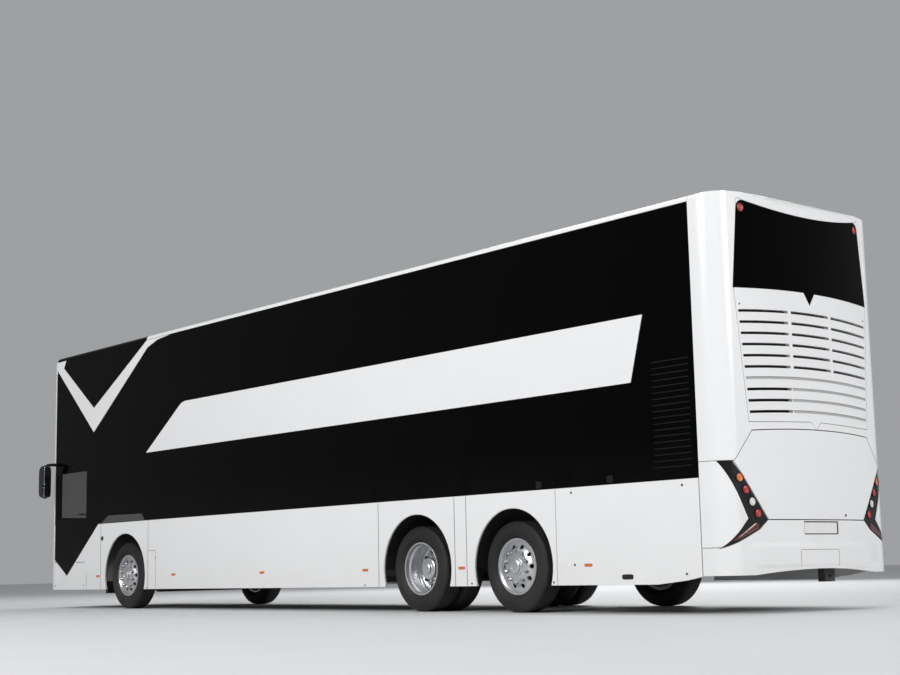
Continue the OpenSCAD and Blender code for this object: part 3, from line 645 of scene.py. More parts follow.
@dataclass(frozen=True)
class Finish:
    """A procedural finish: colour with dust and wear, roughness with grain, and constant gloss values."""

    name: str
    colour: Colour
    rough: float = 0.4
    metal: float = 0.0
    dust: float = 0.3
    dust_top: float = 1.2
    grain: float = 0.05
    grain_scale: float = 400.0
    edge: float = 0.003
    worn: Colour | None = None
    coat: float = 0.0
    sheen: float = 0.0
    alpha: float = 1.0
    gloss: float = 0.5
    vary: float = 0.06

    DUST: ClassVar[Colour] = (0.42, 0.38, 0.33)
    DUST_ROUGH: ClassVar[float] = 0.35
    COAT_ROUGH: ClassVar[float] = 0.04
    ROUGH_SPREAD: ClassVar[float] = 0.15
    # Span that a noise's values mostly stay in
    NOISE_SPAN: ClassVar[Point] = (0.3, 0.7)
    CLOUDS: ClassVar[float] = 1.3

    def build(self) -> bpy.types.Material:
        """The material, made once."""
        return bpy.data.materials.get(self.name) or self._make()

    def _make(self) -> bpy.types.Material:
        """New material with all its nodes.

        Returns:
            The material.
        """
        material = bpy.data.materials.new(self.name)
        material.use_nodes = True
        g = Graph(material.node_tree)
        shader = material.node_tree.nodes["Principled BSDF"]
        constants = {
            "Metallic": self.metal, "Coat Weight": self.coat, "Coat Roughness": self.COAT_ROUGH,
            "Sheen Weight": self.sheen, "Alpha": self.alpha, "Specular IOR Level": self.gloss,
        }
        for key, value in constants.items():
            shader.inputs[key].default_value = value
        keys = {"Scale": self.grain_scale, "Depth": self.grain, "Edge": self.edge}
        grain = g.add("ShaderNodeGroup", keys, node_tree=Effects.grain())
        dust = g.add("ShaderNodeGroup", {"High": self.dust_top}, node_tree=Effects.dust())
        film = g.math("MULTIPLY", dust.outputs["Mask"], self.dust)
        colour = self._base(g)
        if self.worn:
            wear = g.add("ShaderNodeGroup", node_tree=Effects.wear())
            colour = g.mix(wear.outputs["Mask"], colour, self.worn)
        ends = (self.rough*(1 - self.ROUGH_SPREAD), self.rough*(1 + self.ROUGH_SPREAD))
        bare = g.ramp(grain.outputs["Value"], *self.NOISE_SPAN, *ends)
        links = material.node_tree.links
        links.new(g.mix(film, colour, self.DUST), shader.inputs["Base Color"])
        links.new(g.math("ADD", bare, g.math("MULTIPLY", film, self.DUST_ROUGH)), shader.inputs["Roughness"])
        links.new(grain.outputs["Normal"], shader.inputs["Normal"])
        return material

    def _base(self, g: Graph) -> Socket:
        """Base colour with a slow change over the surface."""
        dark = tuple(c*(1 - self.vary) for c in self.colour)
        return g.mix(g.ramp(g.noise(self.CLOUDS, 4.0), *self.NOISE_SPAN), dark, self.colour)


@dataclass(frozen=True)
class Weave(Finish):
    """Seat cloth: crossed threads from two waves over the surface."""

    pitch: float = 260.0

    THREAD_GAIN: ClassVar[float] = 1.9
    THREAD_LIFT: ClassVar[float] = 0.01

    def _base(self, g: Graph) -> Socket:
        """Dark threads crossed by lighter ones.

        Args:
            g: Graph of the material.

        Returns:
            The cloth's colour.
        """
        keys = {"Vector": g.place(), "Scale": self.pitch}
        waves = [g.add("ShaderNodeTexWave", keys, bands_direction=way) for way in ("Y", "DIAGONAL")]
        light = tuple(min(1.0, c*self.THREAD_GAIN + self.THREAD_LIFT) for c in self.colour)
        return g.mix(g.math("MULTIPLY", *(wave.outputs[1] for wave in waves)), self.colour, light)


@dataclass(frozen=True)
class Tread(Finish):
    """Tyre rubber: cross cuts on a paler tread band, from the UVs."""

    BAND: ClassVar[Point] = (0.14, 0.2)
    BAND_GAIN: ClassVar[float] = 1.7
    CUTS: ClassVar[float] = 90.0
    CUT_SHARE: ClassVar[float] = 0.16
    CUT_COLOUR: ClassVar[Colour] = (0.004, 0.004, 0.004)

    def _base(self, g: Graph) -> Socket:
        """Rubber, paler on the worn tread band and dark in its cuts.

        Args:
            g: Graph of the material.

        Returns:
            The rubber's colour.
        """
        uv = g.add("ShaderNodeUVMap", uv_map="surface").outputs[0]
        parts = g.add("ShaderNodeSeparateXYZ", {0: uv})
        off = g.math("ABSOLUTE", g.math("SUBTRACT", parts.outputs["Y"], 0.5))
        across = g.ramp(off, *self.BAND, 1.0, 0.0)
        turn = g.math("FRACT", g.math("MULTIPLY", parts.outputs["X"], self.CUTS))
        cut = g.math("MULTIPLY", g.math("LESS_THAN", turn, self.CUT_SHARE), across)
        band = g.mix(across, self.colour, tuple(c*self.BAND_GAIN for c in self.colour))
        return g.mix(cut, band, self.CUT_COLOUR)


@dataclass(frozen=True)
class Pane(Finish):
    """Glass that is clear inside one box and near-opaque outside it."""

    low: Vec = (0.0, 0.0, 0.0)
    high: Vec = (0.0, 0.0, 0.0)
    clear: float = 0.3

    SOFT: ClassVar[float] = 0.004

    def _make(self) -> bpy.types.Material:
        """New material with the clear box in its alpha.

        Returns:
            The material.
        """
        material = super()._make()
        g = Graph(material.node_tree)
        xyz = g.add("ShaderNodeSeparateXYZ", {0: g.place()})
        inside: Socket | None = None
        for axis, low, high in zip("XYZ", self.low, self.high):
            middle, half = (low + high)/2, (high - low)/2
            off = g.math("ABSOLUTE", g.math("SUBTRACT", xyz.outputs[axis], middle))
            near = g.ramp(off, half - self.SOFT, half + self.SOFT, 1.0, 0.0)
            inside = near if inside is None else g.math("MULTIPLY", inside, near)
        alpha = g.ramp(inside, 0.0, 1.0, self.alpha, self.clear)
        shader = material.node_tree.nodes["Principled BSDF"]
        material.node_tree.links.new(alpha, shader.inputs["Alpha"])
        return material


class Paints:
    """Every finish of the coach, by use."""

    _LENS: dict[str, float] = {"rough": 0.16, "dust": 0.06, "grain": 0.12, "grain_scale": 350, "coat": 0.6}
    _DARK_GLASS: dict[str, float | Colour] = {
        "colour": (0.0012, 0.0013, 0.0015), "rough": 0.06, "dust": 0.02, "grain": 0.004, "grain_scale": 8,
        "edge": 0.002, "gloss": 0.04, "vary": 0.2,
    }

    WHITE = Finish("gloss_white", (0.81, 0.81, 0.81), 0.24, dust=0.10, dust_top=1.1, grain=0.012,
                   grain_scale=900, coat=0.7, vary=0.02)
    GREY = Finish("grey_plate", (0.035, 0.036, 0.038), 0.35, dust=0.1, grain=0.02, coat=0.4)
    # The clear box is the driver's window
    GLASS = Pane("flush_glass", **_DARK_GLASS, dust_top=1.7, alpha=0.97, clear=0.42,
                 low=(SHELL.at(12360), 1.0, 1.37), high=(SHELL.nose_joint - 0.05, 1.4, 2.09))
    TAIL_GLASS = Finish("tail_glass", **_DARK_GLASS)
    # The clear box leaves a dark edge round both screens
    SCREEN = Pane("screen_glass", (0.008, 0.009, 0.010), 0.05, dust=0.03, grain=0.003, grain_scale=6,
                  edge=0.002, gloss=0.25, low=(6.0, -1.16, 1.42), high=(7.2, 1.16, 3.62), clear=0.25)
    LIGHT_GLASS = Finish("door_glass", (0.02, 0.022, 0.025), 0.05, dust=0.04, grain=0.003, grain_scale=6,
                         alpha=0.3, gloss=0.25)
    FRAME = Finish("wall_frame", (0.006, 0.0062, 0.0066), 0.6, dust=0.02, gloss=0.2)
    FLOOR = Finish("floor_covering", (0.10, 0.10, 0.105), 0.6, dust=0.3, grain=0.2, grain_scale=700)
    CHASSIS = Finish("chassis_paint", (0.012, 0.012, 0.013), 0.55, dust=0.12, dust_top=1.4, grain=0.15,
                     worn=(0.06, 0.05, 0.045))
    STEEL = Finish("satin_steel", (0.56, 0.57, 0.58), 0.3, metal=1.0, dust=0.15, grain=0.05, grain_scale=1200)
    TRIM = Finish("black_trim", (0.006, 0.0062, 0.007), 0.28, dust=0.04, grain=0.06, grain_scale=1500,
                  worn=(0.02, 0.02, 0.022), gloss=0.3)
    SEAL = Finish("black_rubber", (0.006, 0.006, 0.006), 0.65, dust=0.05, grain=0.1, grain_scale=1200)
    TYRE = Tread("tyre_rubber", (0.008, 0.008, 0.0085), 0.62, gloss=0.3, dust=0.06, dust_top=1.0, grain=0.25,
                 grain_scale=900)
    ALLOY = Finish("wheel_alloy", (0.70, 0.71, 0.73), 0.28, metal=1.0, dust=0.18, dust_top=1.0, grain=0.08,
                   grain_scale=500, edge=0.004, worn=(0.85, 0.86, 0.87))
    NUT = Finish("wheel_nuts", (0.45, 0.46, 0.47), 0.3, metal=1.0, dust=0.2, grain=0.05, worn=(0.7, 0.7, 0.7))
    CLOTH = Weave("seat_weave", (0.020, 0.026, 0.045), 0.85, dust=0.0, grain=0.35, grain_scale=1500,
                  sheen=0.4)
    LEATHER = Finish("headrest_cover", (0.055, 0.055, 0.06), 0.5, dust=0.0, grain=0.25, grain_scale=600)
    PLATE = Finish("blank_plate", (0.78, 0.78, 0.76), 0.35, dust=0.12, grain=0.03, grain_scale=900)
    CHROME = Finish("lamp_reflector", (0.82, 0.83, 0.84), 0.12, metal=1.0, dust=0.0, grain=0.02)
    CLEAR = Finish("lamp_cover", (0.75, 0.77, 0.79), 0.06, dust=0.03, grain=0.003, alpha=0.28)
    RED = Finish("ruby_lens", (0.42, 0.012, 0.012), **_LENS)
    AMBER = Finish("amber_lens", (0.66, 0.14, 0.012), **_LENS)
    PALE = Finish("white_lens", (0.70, 0.69, 0.66), **_LENS)
    DARK_RED = Finish("dark_red_reflector", (0.09, 0.005, 0.005), 0.2, dust=0.06, grain=0.3, grain_scale=260,
                      coat=0.6)
    # Grey painted shade for the floors of the closed louvre grooves, which are white but in shadow
    SHADE = Finish("louvre_shade", (0.40, 0.40, 0.40), 0.5, dust=0.0, grain=0.02, grain_scale=900)
    MIRROR = Finish("mirror_glass", (0.85, 0.86, 0.87), 0.03, metal=1.0, dust=0.02, grain=0.0)
    STUDIO = Finish("studio_floor", (0.62, 0.63, 0.64), 0.7, dust=0.0, grain=0.02, vary=0.03)


@dataclass(frozen=True)
class Bodywork:
    """Puts a finish on every CAD node that stays in view, by the start of the node's name."""

    finishes: tuple[tuple[Finish, tuple[str, ...]], ...] = (
        (Paints.CHASSIS, ("underframe", "engine", "front_axle", "knuckle", "drive_axle", "tag_axle")),
        (Paints.FLOOR, ("lower_floor", "upper_floor")),
        (Paints.STEEL, ("stairs", "front_door_arm", "middle_door_arm")),
        (Paints.FRAME, ("side_wall", "front_pillars", "rear_pillars")),
        (Paints.WHITE, ("roof", "front_brow", "front_mask", "white_bands", "skirt", "flap", "rear_shell",
                        "louvre_panel", "engine_lid", "rear_corners", "rear_bumper")),
        (Paints.TAIL_GLASS, ("front_dome", "rear_window")),
        (Paints.SCREEN, ("windscreens",)),
        (Paints.GLASS, ("glazing",)),
        (Paints.TRIM, ("tail_lamps", "front_door", "middle_door", "dashboard")),
        (Paints.PLATE, ("number_plate",)),
        (Paints.CLEAR, ("headlamps",)),
        (Paints.ALLOY, ("rim",)),
    )

    def finish_of(self, node: str) -> Finish | None:
        """Finish of a node, by its name or the longest start of its name in the table.

        Args:
            node: Name of the node.

        Returns:
            The finish, or None for a node that a piece stands for.
        """
        found = {start: finish for finish, starts in self.finishes for start in starts
                 if node == start or node.startswith(start + "_")}
        return found[max(found, key=len)] if found else None

    def dress(self) -> None:
        """Assigns each finish to its nodes' material slots."""
        for name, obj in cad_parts.items():
            finish = self.finish_of(name)
            if finish:
                obj.data.materials.clear()
                obj.data.materials.append(finish.build())
                LOG.info("%s: %s", name, finish.name)


@dataclass(frozen=True)
class Wheels:
    """Tyres, nuts and hubs of the six wheels.

    A profile's rings are radius and height out of the wheel. Those of the tyre are measured from its bead
    or its tread, and inwards from its sidewall; those of a hub or nut from the face that carries it.
    """

    radius: float = 0.48
    width: float = 0.275
    bead_r: float = 0.2885
    bead_rings: Profile = (
        (0.0, 0.046), (0.012, 0.036), (0.03, 0.022), (0.045, 0.012), (0.05, 0.0135), (0.06, 0.006))
    shoulder_rings: Profile = (
        (0.12, 0.001), (0.10, 0.0), (0.085, 0.003), (0.06, 0.006), (0.03, 0.015), (0.012, 0.026),
        (0.003, 0.036))
    lining_bead: Profile = ((0.001, 0.07), (0.06, 0.03))
    lining_shoulder: Point = (0.06, 0.04)
    lining_crown: float = 0.045
    groove_y: tuple[float, ...] = (0.066, 0.022, -0.022, -0.066)
    groove_w: float = 0.010
    groove_d: float = 0.013
    groove_edge: float = 0.002
    groove_floor: float = 0.6
    nuts: int = 10
    nut_ring: float = 0.1675
    nut_parts: tuple[tuple[Profile, int], ...] = (
        (((0.022, -0.006), (0.022, 0.004), (0.0195, 0.006), (0.0195, 0.007)), 24),
        (((0.0195, 0.006), (0.0195, 0.026), (0.015, 0.030), (0.001, 0.030)), 6),
        (((0.011, 0.029), (0.011, 0.036), (0.008, 0.039), (0.001, 0.040)), 16))
    single_face: float = 0.128
    single_sink: float = 0.009
    single_hub: Profile = (
        (0.103, -0.004), (0.101, 0.006), (0.092, 0.010), (0.083, 0.010), (0.080, 0.024), (0.070, 0.031),
        (0.035, 0.034), (0.032, 0.031), (0.001, 0.031))
    twin_gap: float = 0.312
    twin_seat: float = 0.014
    drive_hub: Profile = (
        (0.140, -0.004), (0.138, 0.014), (0.118, 0.022), (0.112, 0.118), (0.120, 0.124), (0.120, 0.146),
        (0.112, 0.152), (0.070, 0.156), (0.066, 0.176), (0.058, 0.182), (0.001, 0.184))

    def tyre_profile(self) -> list[Point]:
        """Closed section of a tyre: ribbed sidewall, grooved tread, other sidewall and lining.

        Returns:
            Radius and height of each ring.
        """
        r, w, b = self.radius, self.width/2, self.bead_r
        wall = [(b + rise, w - inset) for rise, inset in self.bead_rings]
        wall += [(r - drop, w - inset) for drop, inset in self.shoulder_rings]
        half, edge, floor = self.groove_w/2, self.groove_edge, self.groove_w/2*self.groove_floor
        steps = ((0.0, half + edge), (edge, half), (self.groove_d, floor))
        tread: list[Point] = []
        for y in self.groove_y:
            tread += [(r - drop, y + out) for drop, out in steps]
            tread += [(r - drop, y - out) for drop, out in reversed(steps)]
        lining = [(b + rise, w - inset) for rise, inset in self.lining_bead]
        lining.append((r - self.lining_shoulder[0], w - self.lining_shoulder[1]))
        outer = wall + tread + [(a, -c) for a, c in reversed(wall)]
        inner = [(a, -c) for a, c in lining] + [(r - self.lining_crown, 0.0)] + lining[::-1]
        return outer + inner + wall[:1]

    def dress(self) -> None:
        """Builds all six wheels."""
        for axle in Axle:
            for side in Side:
                self._wheel(axle, side)

    def _wheel(self, axle: Axle, side: Side) -> None:
        """Tyres, nuts and hub of one wheel.

        Args:
            axle: Axle of the wheel.
            side: Side of the wheel.
        """
        name = f"{axle.word}_{side.word}"
        body = f"wheel_{name}"
        place = Place.wheel(axle, side)
        twin = axle is Axle.DRIVE
        shifts = (0.0, -self.twin_gap) if twin else (0.0,)
        tyres = merge(revolve(place, raised(self.tyre_profile(), shift), 96) for shift in shifts)
        tyre = piece(f"road_tyre_{name}", tyres, Paints.TYRE, 50, body)
        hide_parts(f"tyre_{name}")
        seat = self.twin_seat - self.twin_gap/2 if twin else self.single_face - self.single_sink
        piece(f"nuts_{name}", self._nuts(place, seat), Paints.NUT, 25, body)
        hub = raised(self.drive_hub, seat) if twin else raised(self.single_hub, self.single_face)
        piece(f"hub_{name}", revolve(place, hub, 64), Paints.ALLOY, 30, body)

    def _nuts(self, place: Place, seat: float) -> Surface:
        """Ring of six-sided nuts with round tips, on washers.

        Args:
            place: Middle of the wheel.
            seat: Height of the face under the nuts.

        Returns:
            All the nuts as one surface.
        """
        angles = (np.arange(self.nuts) + 0.5)*2*np.pi/self.nuts
        spots = [place.shifted(self.nut_ring*math.cos(a), self.nut_ring*math.sin(a), seat) for a in angles]
        return merge(revolve(spot, profile, faces) for spot in spots for profile, faces in self.nut_parts)


@dataclass(frozen=True)
class TailFittings:
    """Lenses, reflectors, screws, painted shade in the blind louvres, bumper crease and plate surround of the
    tail.
    """

    lamp_r: float = 0.038
    lamps: tuple[tuple[float, float, Lens], ...] = (
        (1.070, 1.251, Lens.AMBER), (1.000, 1.140, Lens.RED), (0.932, 1.028, Lens.WHITE),
        (0.866, 0.920, Lens.RED))
    marker: Point = (0.905, 3.830)
    dome_h: float = 0.0055
    dome_seat: float = -0.001
    dome_foot: float = -0.006
    rib_h: float = 0.0006
    rib_pitch: float = 0.006
    # Radius past the lens and height of a lens ring's section
    ring: Profile = ((0.0006, -0.004), (0.007, 0.001), (0.004, 0.005), (0.0006, 0.003))
    screw: Button = Button(0.016, 0.016, 0.003, 2.0, 20)
    screws: tuple[Point, ...] = ((0.975, 2.89), (-0.975, 2.89))
    lock: Button = Button(0.026, 0.026, 0.003, 2.0, 24)
    lid_lock: Point = (-0.407, 0.905)
    cover_y: Point = (0.342, -0.237)
    cover_z: Point = (0.42, 0.579)
    seam_r: float = 0.0016
    seam_sink: float = 0.0004
    louvre_rows: int = 10
    louvre_open: int = 6
    louvre_pitch: float = 0.1064
    louvre_z: float = 2.836
    louvre_y: float = 0.990
    louvre_in: float = 0.0089
    louvre_h: float = 0.026
    louvre_r: float = 14.0
    louvre_bar: float = 0.325
    louvre_depth: float = 0.010
    louvre_margin: float = 0.04
    crease_z: tuple[float, float, float, float] = (0.405, 0.455, 0.604, 0.655)
    crease_y: Point = (0.78, 1.05)
    crease_d: float = 0.012
    crease_sink: float = 0.0008
    window_corner: Point = (0.953, 3.917)
    window_edges: tuple[Point, Point] = ((-1.0, -0.193), (0.10, -1.0))
    window_r: float = 0.075
    window_proud: float = 0.0006
    plate_power: float = 24
    plate_bar: float = 0.0045
    plate_out: float = 0.001
    limb_from: Point = (0.865, 0.818)
    limb_run: Point = (0.300, -0.150)
    limb_across: Point = (0.42, 0.90)
    limb_half: float = 0.034
    limb_taper: float = 0.75
    limb_power: int = 12
    limb_sink: float = 0.003
    limb_rise: float = 0.006

    def dress(self) -> None:
        """Builds every fitting of the tail."""
        self._lenses()
        self._limb_reflectors()
        self._plate_frame()
        dots = merge(self.screw.on(Place.tail(y, z)) for y, z in self.screws)
        piece("louvre_screws", dots, Paints.TRIM)
        lock = self.lock.on(Place.tail(*self.lid_lock))
        piece("lid_lock", lock, Paints.TRIM, body="engine_lid")
        self._cover_seam()
        self._blind_louvres()
        self._bumper_crease()
        self._window_corners()

    def _lenses(self) -> None:
        """Lenses of each colour, and the rings round them all."""
        finishes = {Lens.AMBER: Paints.AMBER, Lens.RED: Paints.RED, Lens.WHITE: Paints.PALE}
        places: dict[Lens, list[Place]] = {lens: [] for lens in Lens}
        for side in Side:
            for y, z, lens in (*self.lamps, (*self.marker, Lens.RED)):
                places[lens].append(Place.tail(side.value*y, z))
        for lens, spots in places.items():
            domes = merge(self._lens(spot) for spot in spots)
            obj = piece(f"{lens.word}_lenses", domes, finishes[lens], 30)
            if lens is Lens.RED:
                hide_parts("tail_lenses")
        section = [(self.lamp_r + out, h) for out, h in self.ring]
        rings = merge(revolve(spot, section) for spots in places.values() for spot in spots)
        piece("lens_rings", rings, Paints.TRIM)

    def _lens(self, place: Place) -> Surface:
        """Ribbed dome: height = H (1 - (r/R)^2) with a fine ring every 6 mm.

        Args:
            place: Middle of the lens.

        Returns:
            The dome, with its foot behind the face.
        """
        r = np.linspace(self.lamp_r, 0.0005, 26)
        dome = self.dome_h*(1 - (r/self.lamp_r)**2)
        h = dome + self.rib_h*np.cos(2*np.pi*r/self.rib_pitch) + self.dome_seat
        return revolve(place, [(self.lamp_r, self.dome_foot), *zip(r, h)])

    def _cover_seam(self) -> None:
        """Seam round the cover in the bumper: a thin line along three of its edges."""
        left, right = self.cover_y
        low, top = self.cover_z
        climb, across = np.linspace(0, 1, 9), np.linspace(left, right, 30)
        up, down = low + (top - low)*climb[:-1], top + (low - top)*climb[1:]
        y = np.concatenate([np.full_like(up, left), across, np.full_like(down, right)])
        z = np.concatenate([up, np.full_like(across, top), down])
        path = np.stack([SHELL.tail_x(y) - self._crease_out(z) + self.seam_sink, y, z], -1)
        piece("bumper_cover_seam", tube(path, self.seam_r, 8), Paints.SEAL, 60)

    def _blind_louvres(self) -> None:
        """Grey strips of painted shade on the floors of the closed louvre grooves, standing in for the shadow
        in the white grooves.

        Row k is an arc Z = c + sqrt(R^2 - y^2) that rises to the middle, a groove high, inside the tail.
        """
        parts = []
        for k in range(self.louvre_open, self.louvre_rows):
            half = self.louvre_y - k*self.louvre_in
            left = half if k == self.louvre_open else self.louvre_bar
            down = np.linspace(self.louvre_margin, 1 - self.louvre_margin, 5)
            y, v = table(np.linspace(-half, left, 60), down)
            base = self.louvre_z - k*self.louvre_pitch + half**2/(2*self.louvre_r) - self.louvre_r
            z = base + np.sqrt(self.louvre_r**2 - y**2) - v*self.louvre_h
            parts.append(grid(np.stack([SHELL.tail_x(y) + self.louvre_depth, y, z], -1)))
        # These grey strips paint the grooves' shadow
        piece("blind_louvre_painted_shade", merge(parts), Paints.SHADE, 60)

    def _crease_out(self, z: np.ndarray) -> np.ndarray:
        """How far the bumper's lower part stands out: a ramp at the crease, a soft step at the lower edge.

        Args:
            z: Heights.

        Returns:
            The distance at each height.
        """
        foot, full, crease, top = self.crease_z
        rise = np.clip((top - z)/(top - crease), 0, 1)
        fall = np.clip((z - foot)/(full - foot), 0, 1)
        return self.crease_d*np.minimum(rise, ease(fall))

    def _bumper_crease(self) -> None:
        """Lower bulge of the bumper: X = tail - crease(z) w(y), with w falling to 0 at the corners."""
        inner, outer = self.crease_y
        y, z = table(np.linspace(-outer, outer, 90), np.linspace(self.crease_z[0], self.crease_z[-1], 45))
        fade = np.clip((outer - np.abs(y))/(outer - inner), 0, 1)
        out = self._crease_out(z)*ease(fade)
        points = np.stack([SHELL.tail_x(y) + self.crease_sink - out, y, z], -1)
        piece("bumper_crease", grid(points), Paints.WHITE, 12)

    def _window_corners(self) -> None:
        """White fillets in the rear window's upper corners.

        With the unit edges e1 and e2 at the corner and the half angle h between them, the arc's centre
        lies r/sin h along the bisector; P(s, v) runs from the corner's edges at v = 0 to the arc at v = 1.
        """
        corner, r = np.array(self.window_corner), self.window_r
        e1, e2 = (np.array(e)/np.hypot(*e) for e in self.window_edges)
        half = math.acos(float(e1 @ e2))/2
        middle = corner + (e1 + e2)/np.linalg.norm(e1 + e2)*r/math.sin(half)
        reach = r/math.tan(half)
        s = np.linspace(0, 1, 25)
        ends = [np.arctan2(*(corner + e*reach - middle)[::-1]) for e in (e1, e2)]
        turn = (ends[1] - ends[0] + np.pi) % (2*np.pi) - np.pi
        a = ends[0] + turn*s
        arc = middle + r*np.stack([np.cos(a), np.sin(a)], -1)
        edge = corner + reach*(np.outer(np.clip(1 - 2*s, 0, 1), e1) + np.outer(np.clip(2*s - 1, 0, 1), e2))
        v = np.linspace(0, 1, 5)[None, :, None]
        y, z = np.moveaxis(edge[:, None]*(1 - v) + arc[:, None]*v, -1, 0)
        points = np.stack([SHELL.tail_x(y) - self.window_proud, y, z], -1)
        parts = [grid(points), grid(points*np.array([1, -1, 1]))]
        piece("window_corners", merge(parts), Paints.WHITE, 60)

    def _plate_frame(self) -> None:
        """Slim dark frame round the plate: a bar along the rounded rectangle of its edge."""
        low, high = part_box("number_plate")
        c, s = squared(np.linspace(0, 2*np.pi, 97), self.plate_power)
        y = c*(high.y - low.y)/2
        z = (low.z + high.z)/2 + s*(high.z - low.z)/2
        path = np.stack([np.full_like(y, low.x - self.plate_out), y, z], -1)
        piece("plate_frame", tube(path, self.plate_bar, 10), Paints.TRIM, 60)

    def _limb_reflectors(self) -> None:
        """Long reflectors in the lower limbs of the lamp clusters, as strips along the limb.

        A strip's points run down and outwards along the limb, with half widths that narrow to the tip;
        X is the tail's face with a rise of 3 mm at the middle line.
        """
        t, v = table(np.linspace(0, 1, 25), np.linspace(-1, 1, 9))
        ends = np.sqrt(np.clip(1 - (2*t - 1)**self.limb_power, 0, 1))
        half = self.limb_half*(1 - self.limb_taper*t)*ends
        y, z = (start + run*t + across*v*half
                for start, run, across in zip(self.limb_from, self.limb_run, self.limb_across))
        x = SHELL.tail_x(y) + self.limb_sink - self.limb_rise*np.sqrt(np.clip(1 - v**2, 0, 1))
        parts = [grid(np.stack([x, side.value*y, z], -1)) for side in Side]
        piece("limb_reflectors", merge(parts), Paints.DARK_RED, 60)


@dataclass(frozen=True)
class FlankFittings:
    """Reflectors, locks, handles, seals and the grey plate over the front arch.

    Places are a distance from the tail's joint in millimetres and a height in metres.
    """

    reflector: Button = Button(0.11, 0.031, 0.006, 6)
    reflector_z: float = 0.478
    reflectors: tuple[float, ...] = (9690, 7429, 5204, 3444, 11948)
    flap_reflector: float = 1488
    lock: Button = Button(0.024, 0.024, 0.003, 2, 24)
    locks: tuple[Point, ...] = ((1703, 1.209), (209, 1.205), (1680, 0.483), (195, 0.376))
    handle: Button = Button(0.15, 0.05, 0.004, 5)
    handle_at: Point = (954, 0.356)
    pad: Button = Button(0.085, 0.07, 0.003, 6)
    pads: tuple[Point, ...] = ((2180, 1.315), (1150, 1.315))
    cap: Button = Button(0.07, 0.07, 0.004, 2, 32)
    cap_at: Point = (11822, 1.04)
    screw: Button = Button(0.022, 0.022, 0.002, 2, 24)
    screws: tuple[Point, ...] = (
        (13386, 0.343), (12412, 0.338), (10441, 0.298), (5216, 0.300), (3279, 0.308), (1993, 0.310),
        (10199, 0.722))
    # Middle, width and height of each line of the service doors' seams
    seams: tuple[tuple[float, float, float, float], ...] = (
        (12325, 0.415, 0.006, 0.26), (12522, 0.697, 0.305, 0.008), (13370, 0.708, 0.09, 0.008),
        (10300, 0.824, 0.21, 0.005), (10195, 0.550, 0.005, 0.545))
    line_proud: float = 0.0006
    panel_joints: tuple[float, ...] = (3355, 3555, 4941, 10420, 11870)
    joint_z: Point = (0.285, 1.256)
    seal_w: float = 0.008
    # Start and length of the arch plate's lower and upper edges in metres, and its heights
    plate_low: Point = (10.513, 1.357)
    plate_high: Point = (10.604, 1.025)
    plate_z: float = 1.268
    plate_h: Point = (0.100, 0.012)
    # The plate's soft ends and sides take up one part in so many of its length and height
    plate_edge: Point = (40, 8)
    plate_sink: float = 0.001
    plate_rise: float = 0.004

    def dress(self) -> None:
        """Builds the fittings of both flanks."""
        for side in Side:
            self._plates(side)
            self._arch_plate(side)
            self._panel_seals(side)
            if side is Side.LEFT:
                self._skirt_details(side)

    def _plates(self, side: Side) -> None:
        """Reflectors, locks and handles of one flank.

        Args:
            side: The flank.
        """
        flap = f"flap_{side.word}"
        fixed = [(d, self.reflector_z) for d in self.reflectors]
        loose = [(self.flap_reflector, self.reflector_z)]
        for name, button, spots, finish, slot, body in (
                ("reflectors", self.reflector, fixed, Paints.AMBER, "red_lens", BODY),
                ("flap_reflector", self.reflector, loose, Paints.AMBER, "red_lens", flap),
                ("flap_locks", self.lock, self.locks, Paints.TRIM, "dark_trim", flap),
                ("flap_handle", self.handle, [self.handle_at], Paints.TRIM, "dark_trim", flap),
                ("quarter_handles", self.pad, self.pads, Paints.TRIM, "dark_trim", BODY)):
            piece(f"{name}_{side.word}", button.on_flank(side, spots), finish, body=body)

    def _panel_seals(self, side: Side) -> None:
        """Dark seals in the upright joints of the skirt panels.

        Args:
            side: The flank.
        """
        low, high = self.joint_z
        seal = Button(self.seal_w, high - low, self.line_proud, 12, 48)
        seals = seal.on_flank(side, [(d, (low + high)/2) for d in self.panel_joints])
        piece(f"panel_seals_{side.word}", seals, Paints.SEAL, 60)

    def _skirt_details(self, side: Side) -> None:
        """Filler cap, screws and the seams of the small service doors, in the skirt without passenger doors.

        Args:
            side: The flank.
        """
        piece("filler_cap", self.cap.on_flank(side, [self.cap_at]), Paints.TRIM)
        piece("skirt_screws", self.screw.on_flank(side, self.screws), Paints.TRIM)
        lines = merge(Button(w, h, self.line_proud, 8, 32).on_flank(side, [(d, z)])
                      for d, z, w, h in self.seams)
        piece("skirt_seams", lines, Paints.SEAL, 60)

    def _arch_plate(self, side: Side) -> None:
        """Grey plate on the glazing over the front arch.

        A trapezoid filled as P(u, v) between its lower and upper edges, 3 mm proud with soft edges.

        Args:
            side: The flank.
        """
        u, v = table(np.linspace(0, 1, 40), np.linspace(0, 1, 12))
        lower, upper = (start + length*u for start, length in (self.plate_low, self.plate_high))
        x = SHELL.at(0) + (1 - v)*lower + v*upper
        z = self.plate_z + v*(self.plate_h[0] + self.plate_h[1]*u)
        ends, sides = (np.minimum(k, 1 - k)*edge for k, edge in zip((u, v), self.plate_edge))
        lift = np.minimum(ends, sides).clip(0, 1)
        y = side.value*(SHELL.half_w - self.plate_sink + self.plate_rise*np.sqrt(lift))
        plate = grid(np.stack([x, y, z], -1))
        piece(f"arch_plate_{side.word}", plate, Paints.GREY, 60)


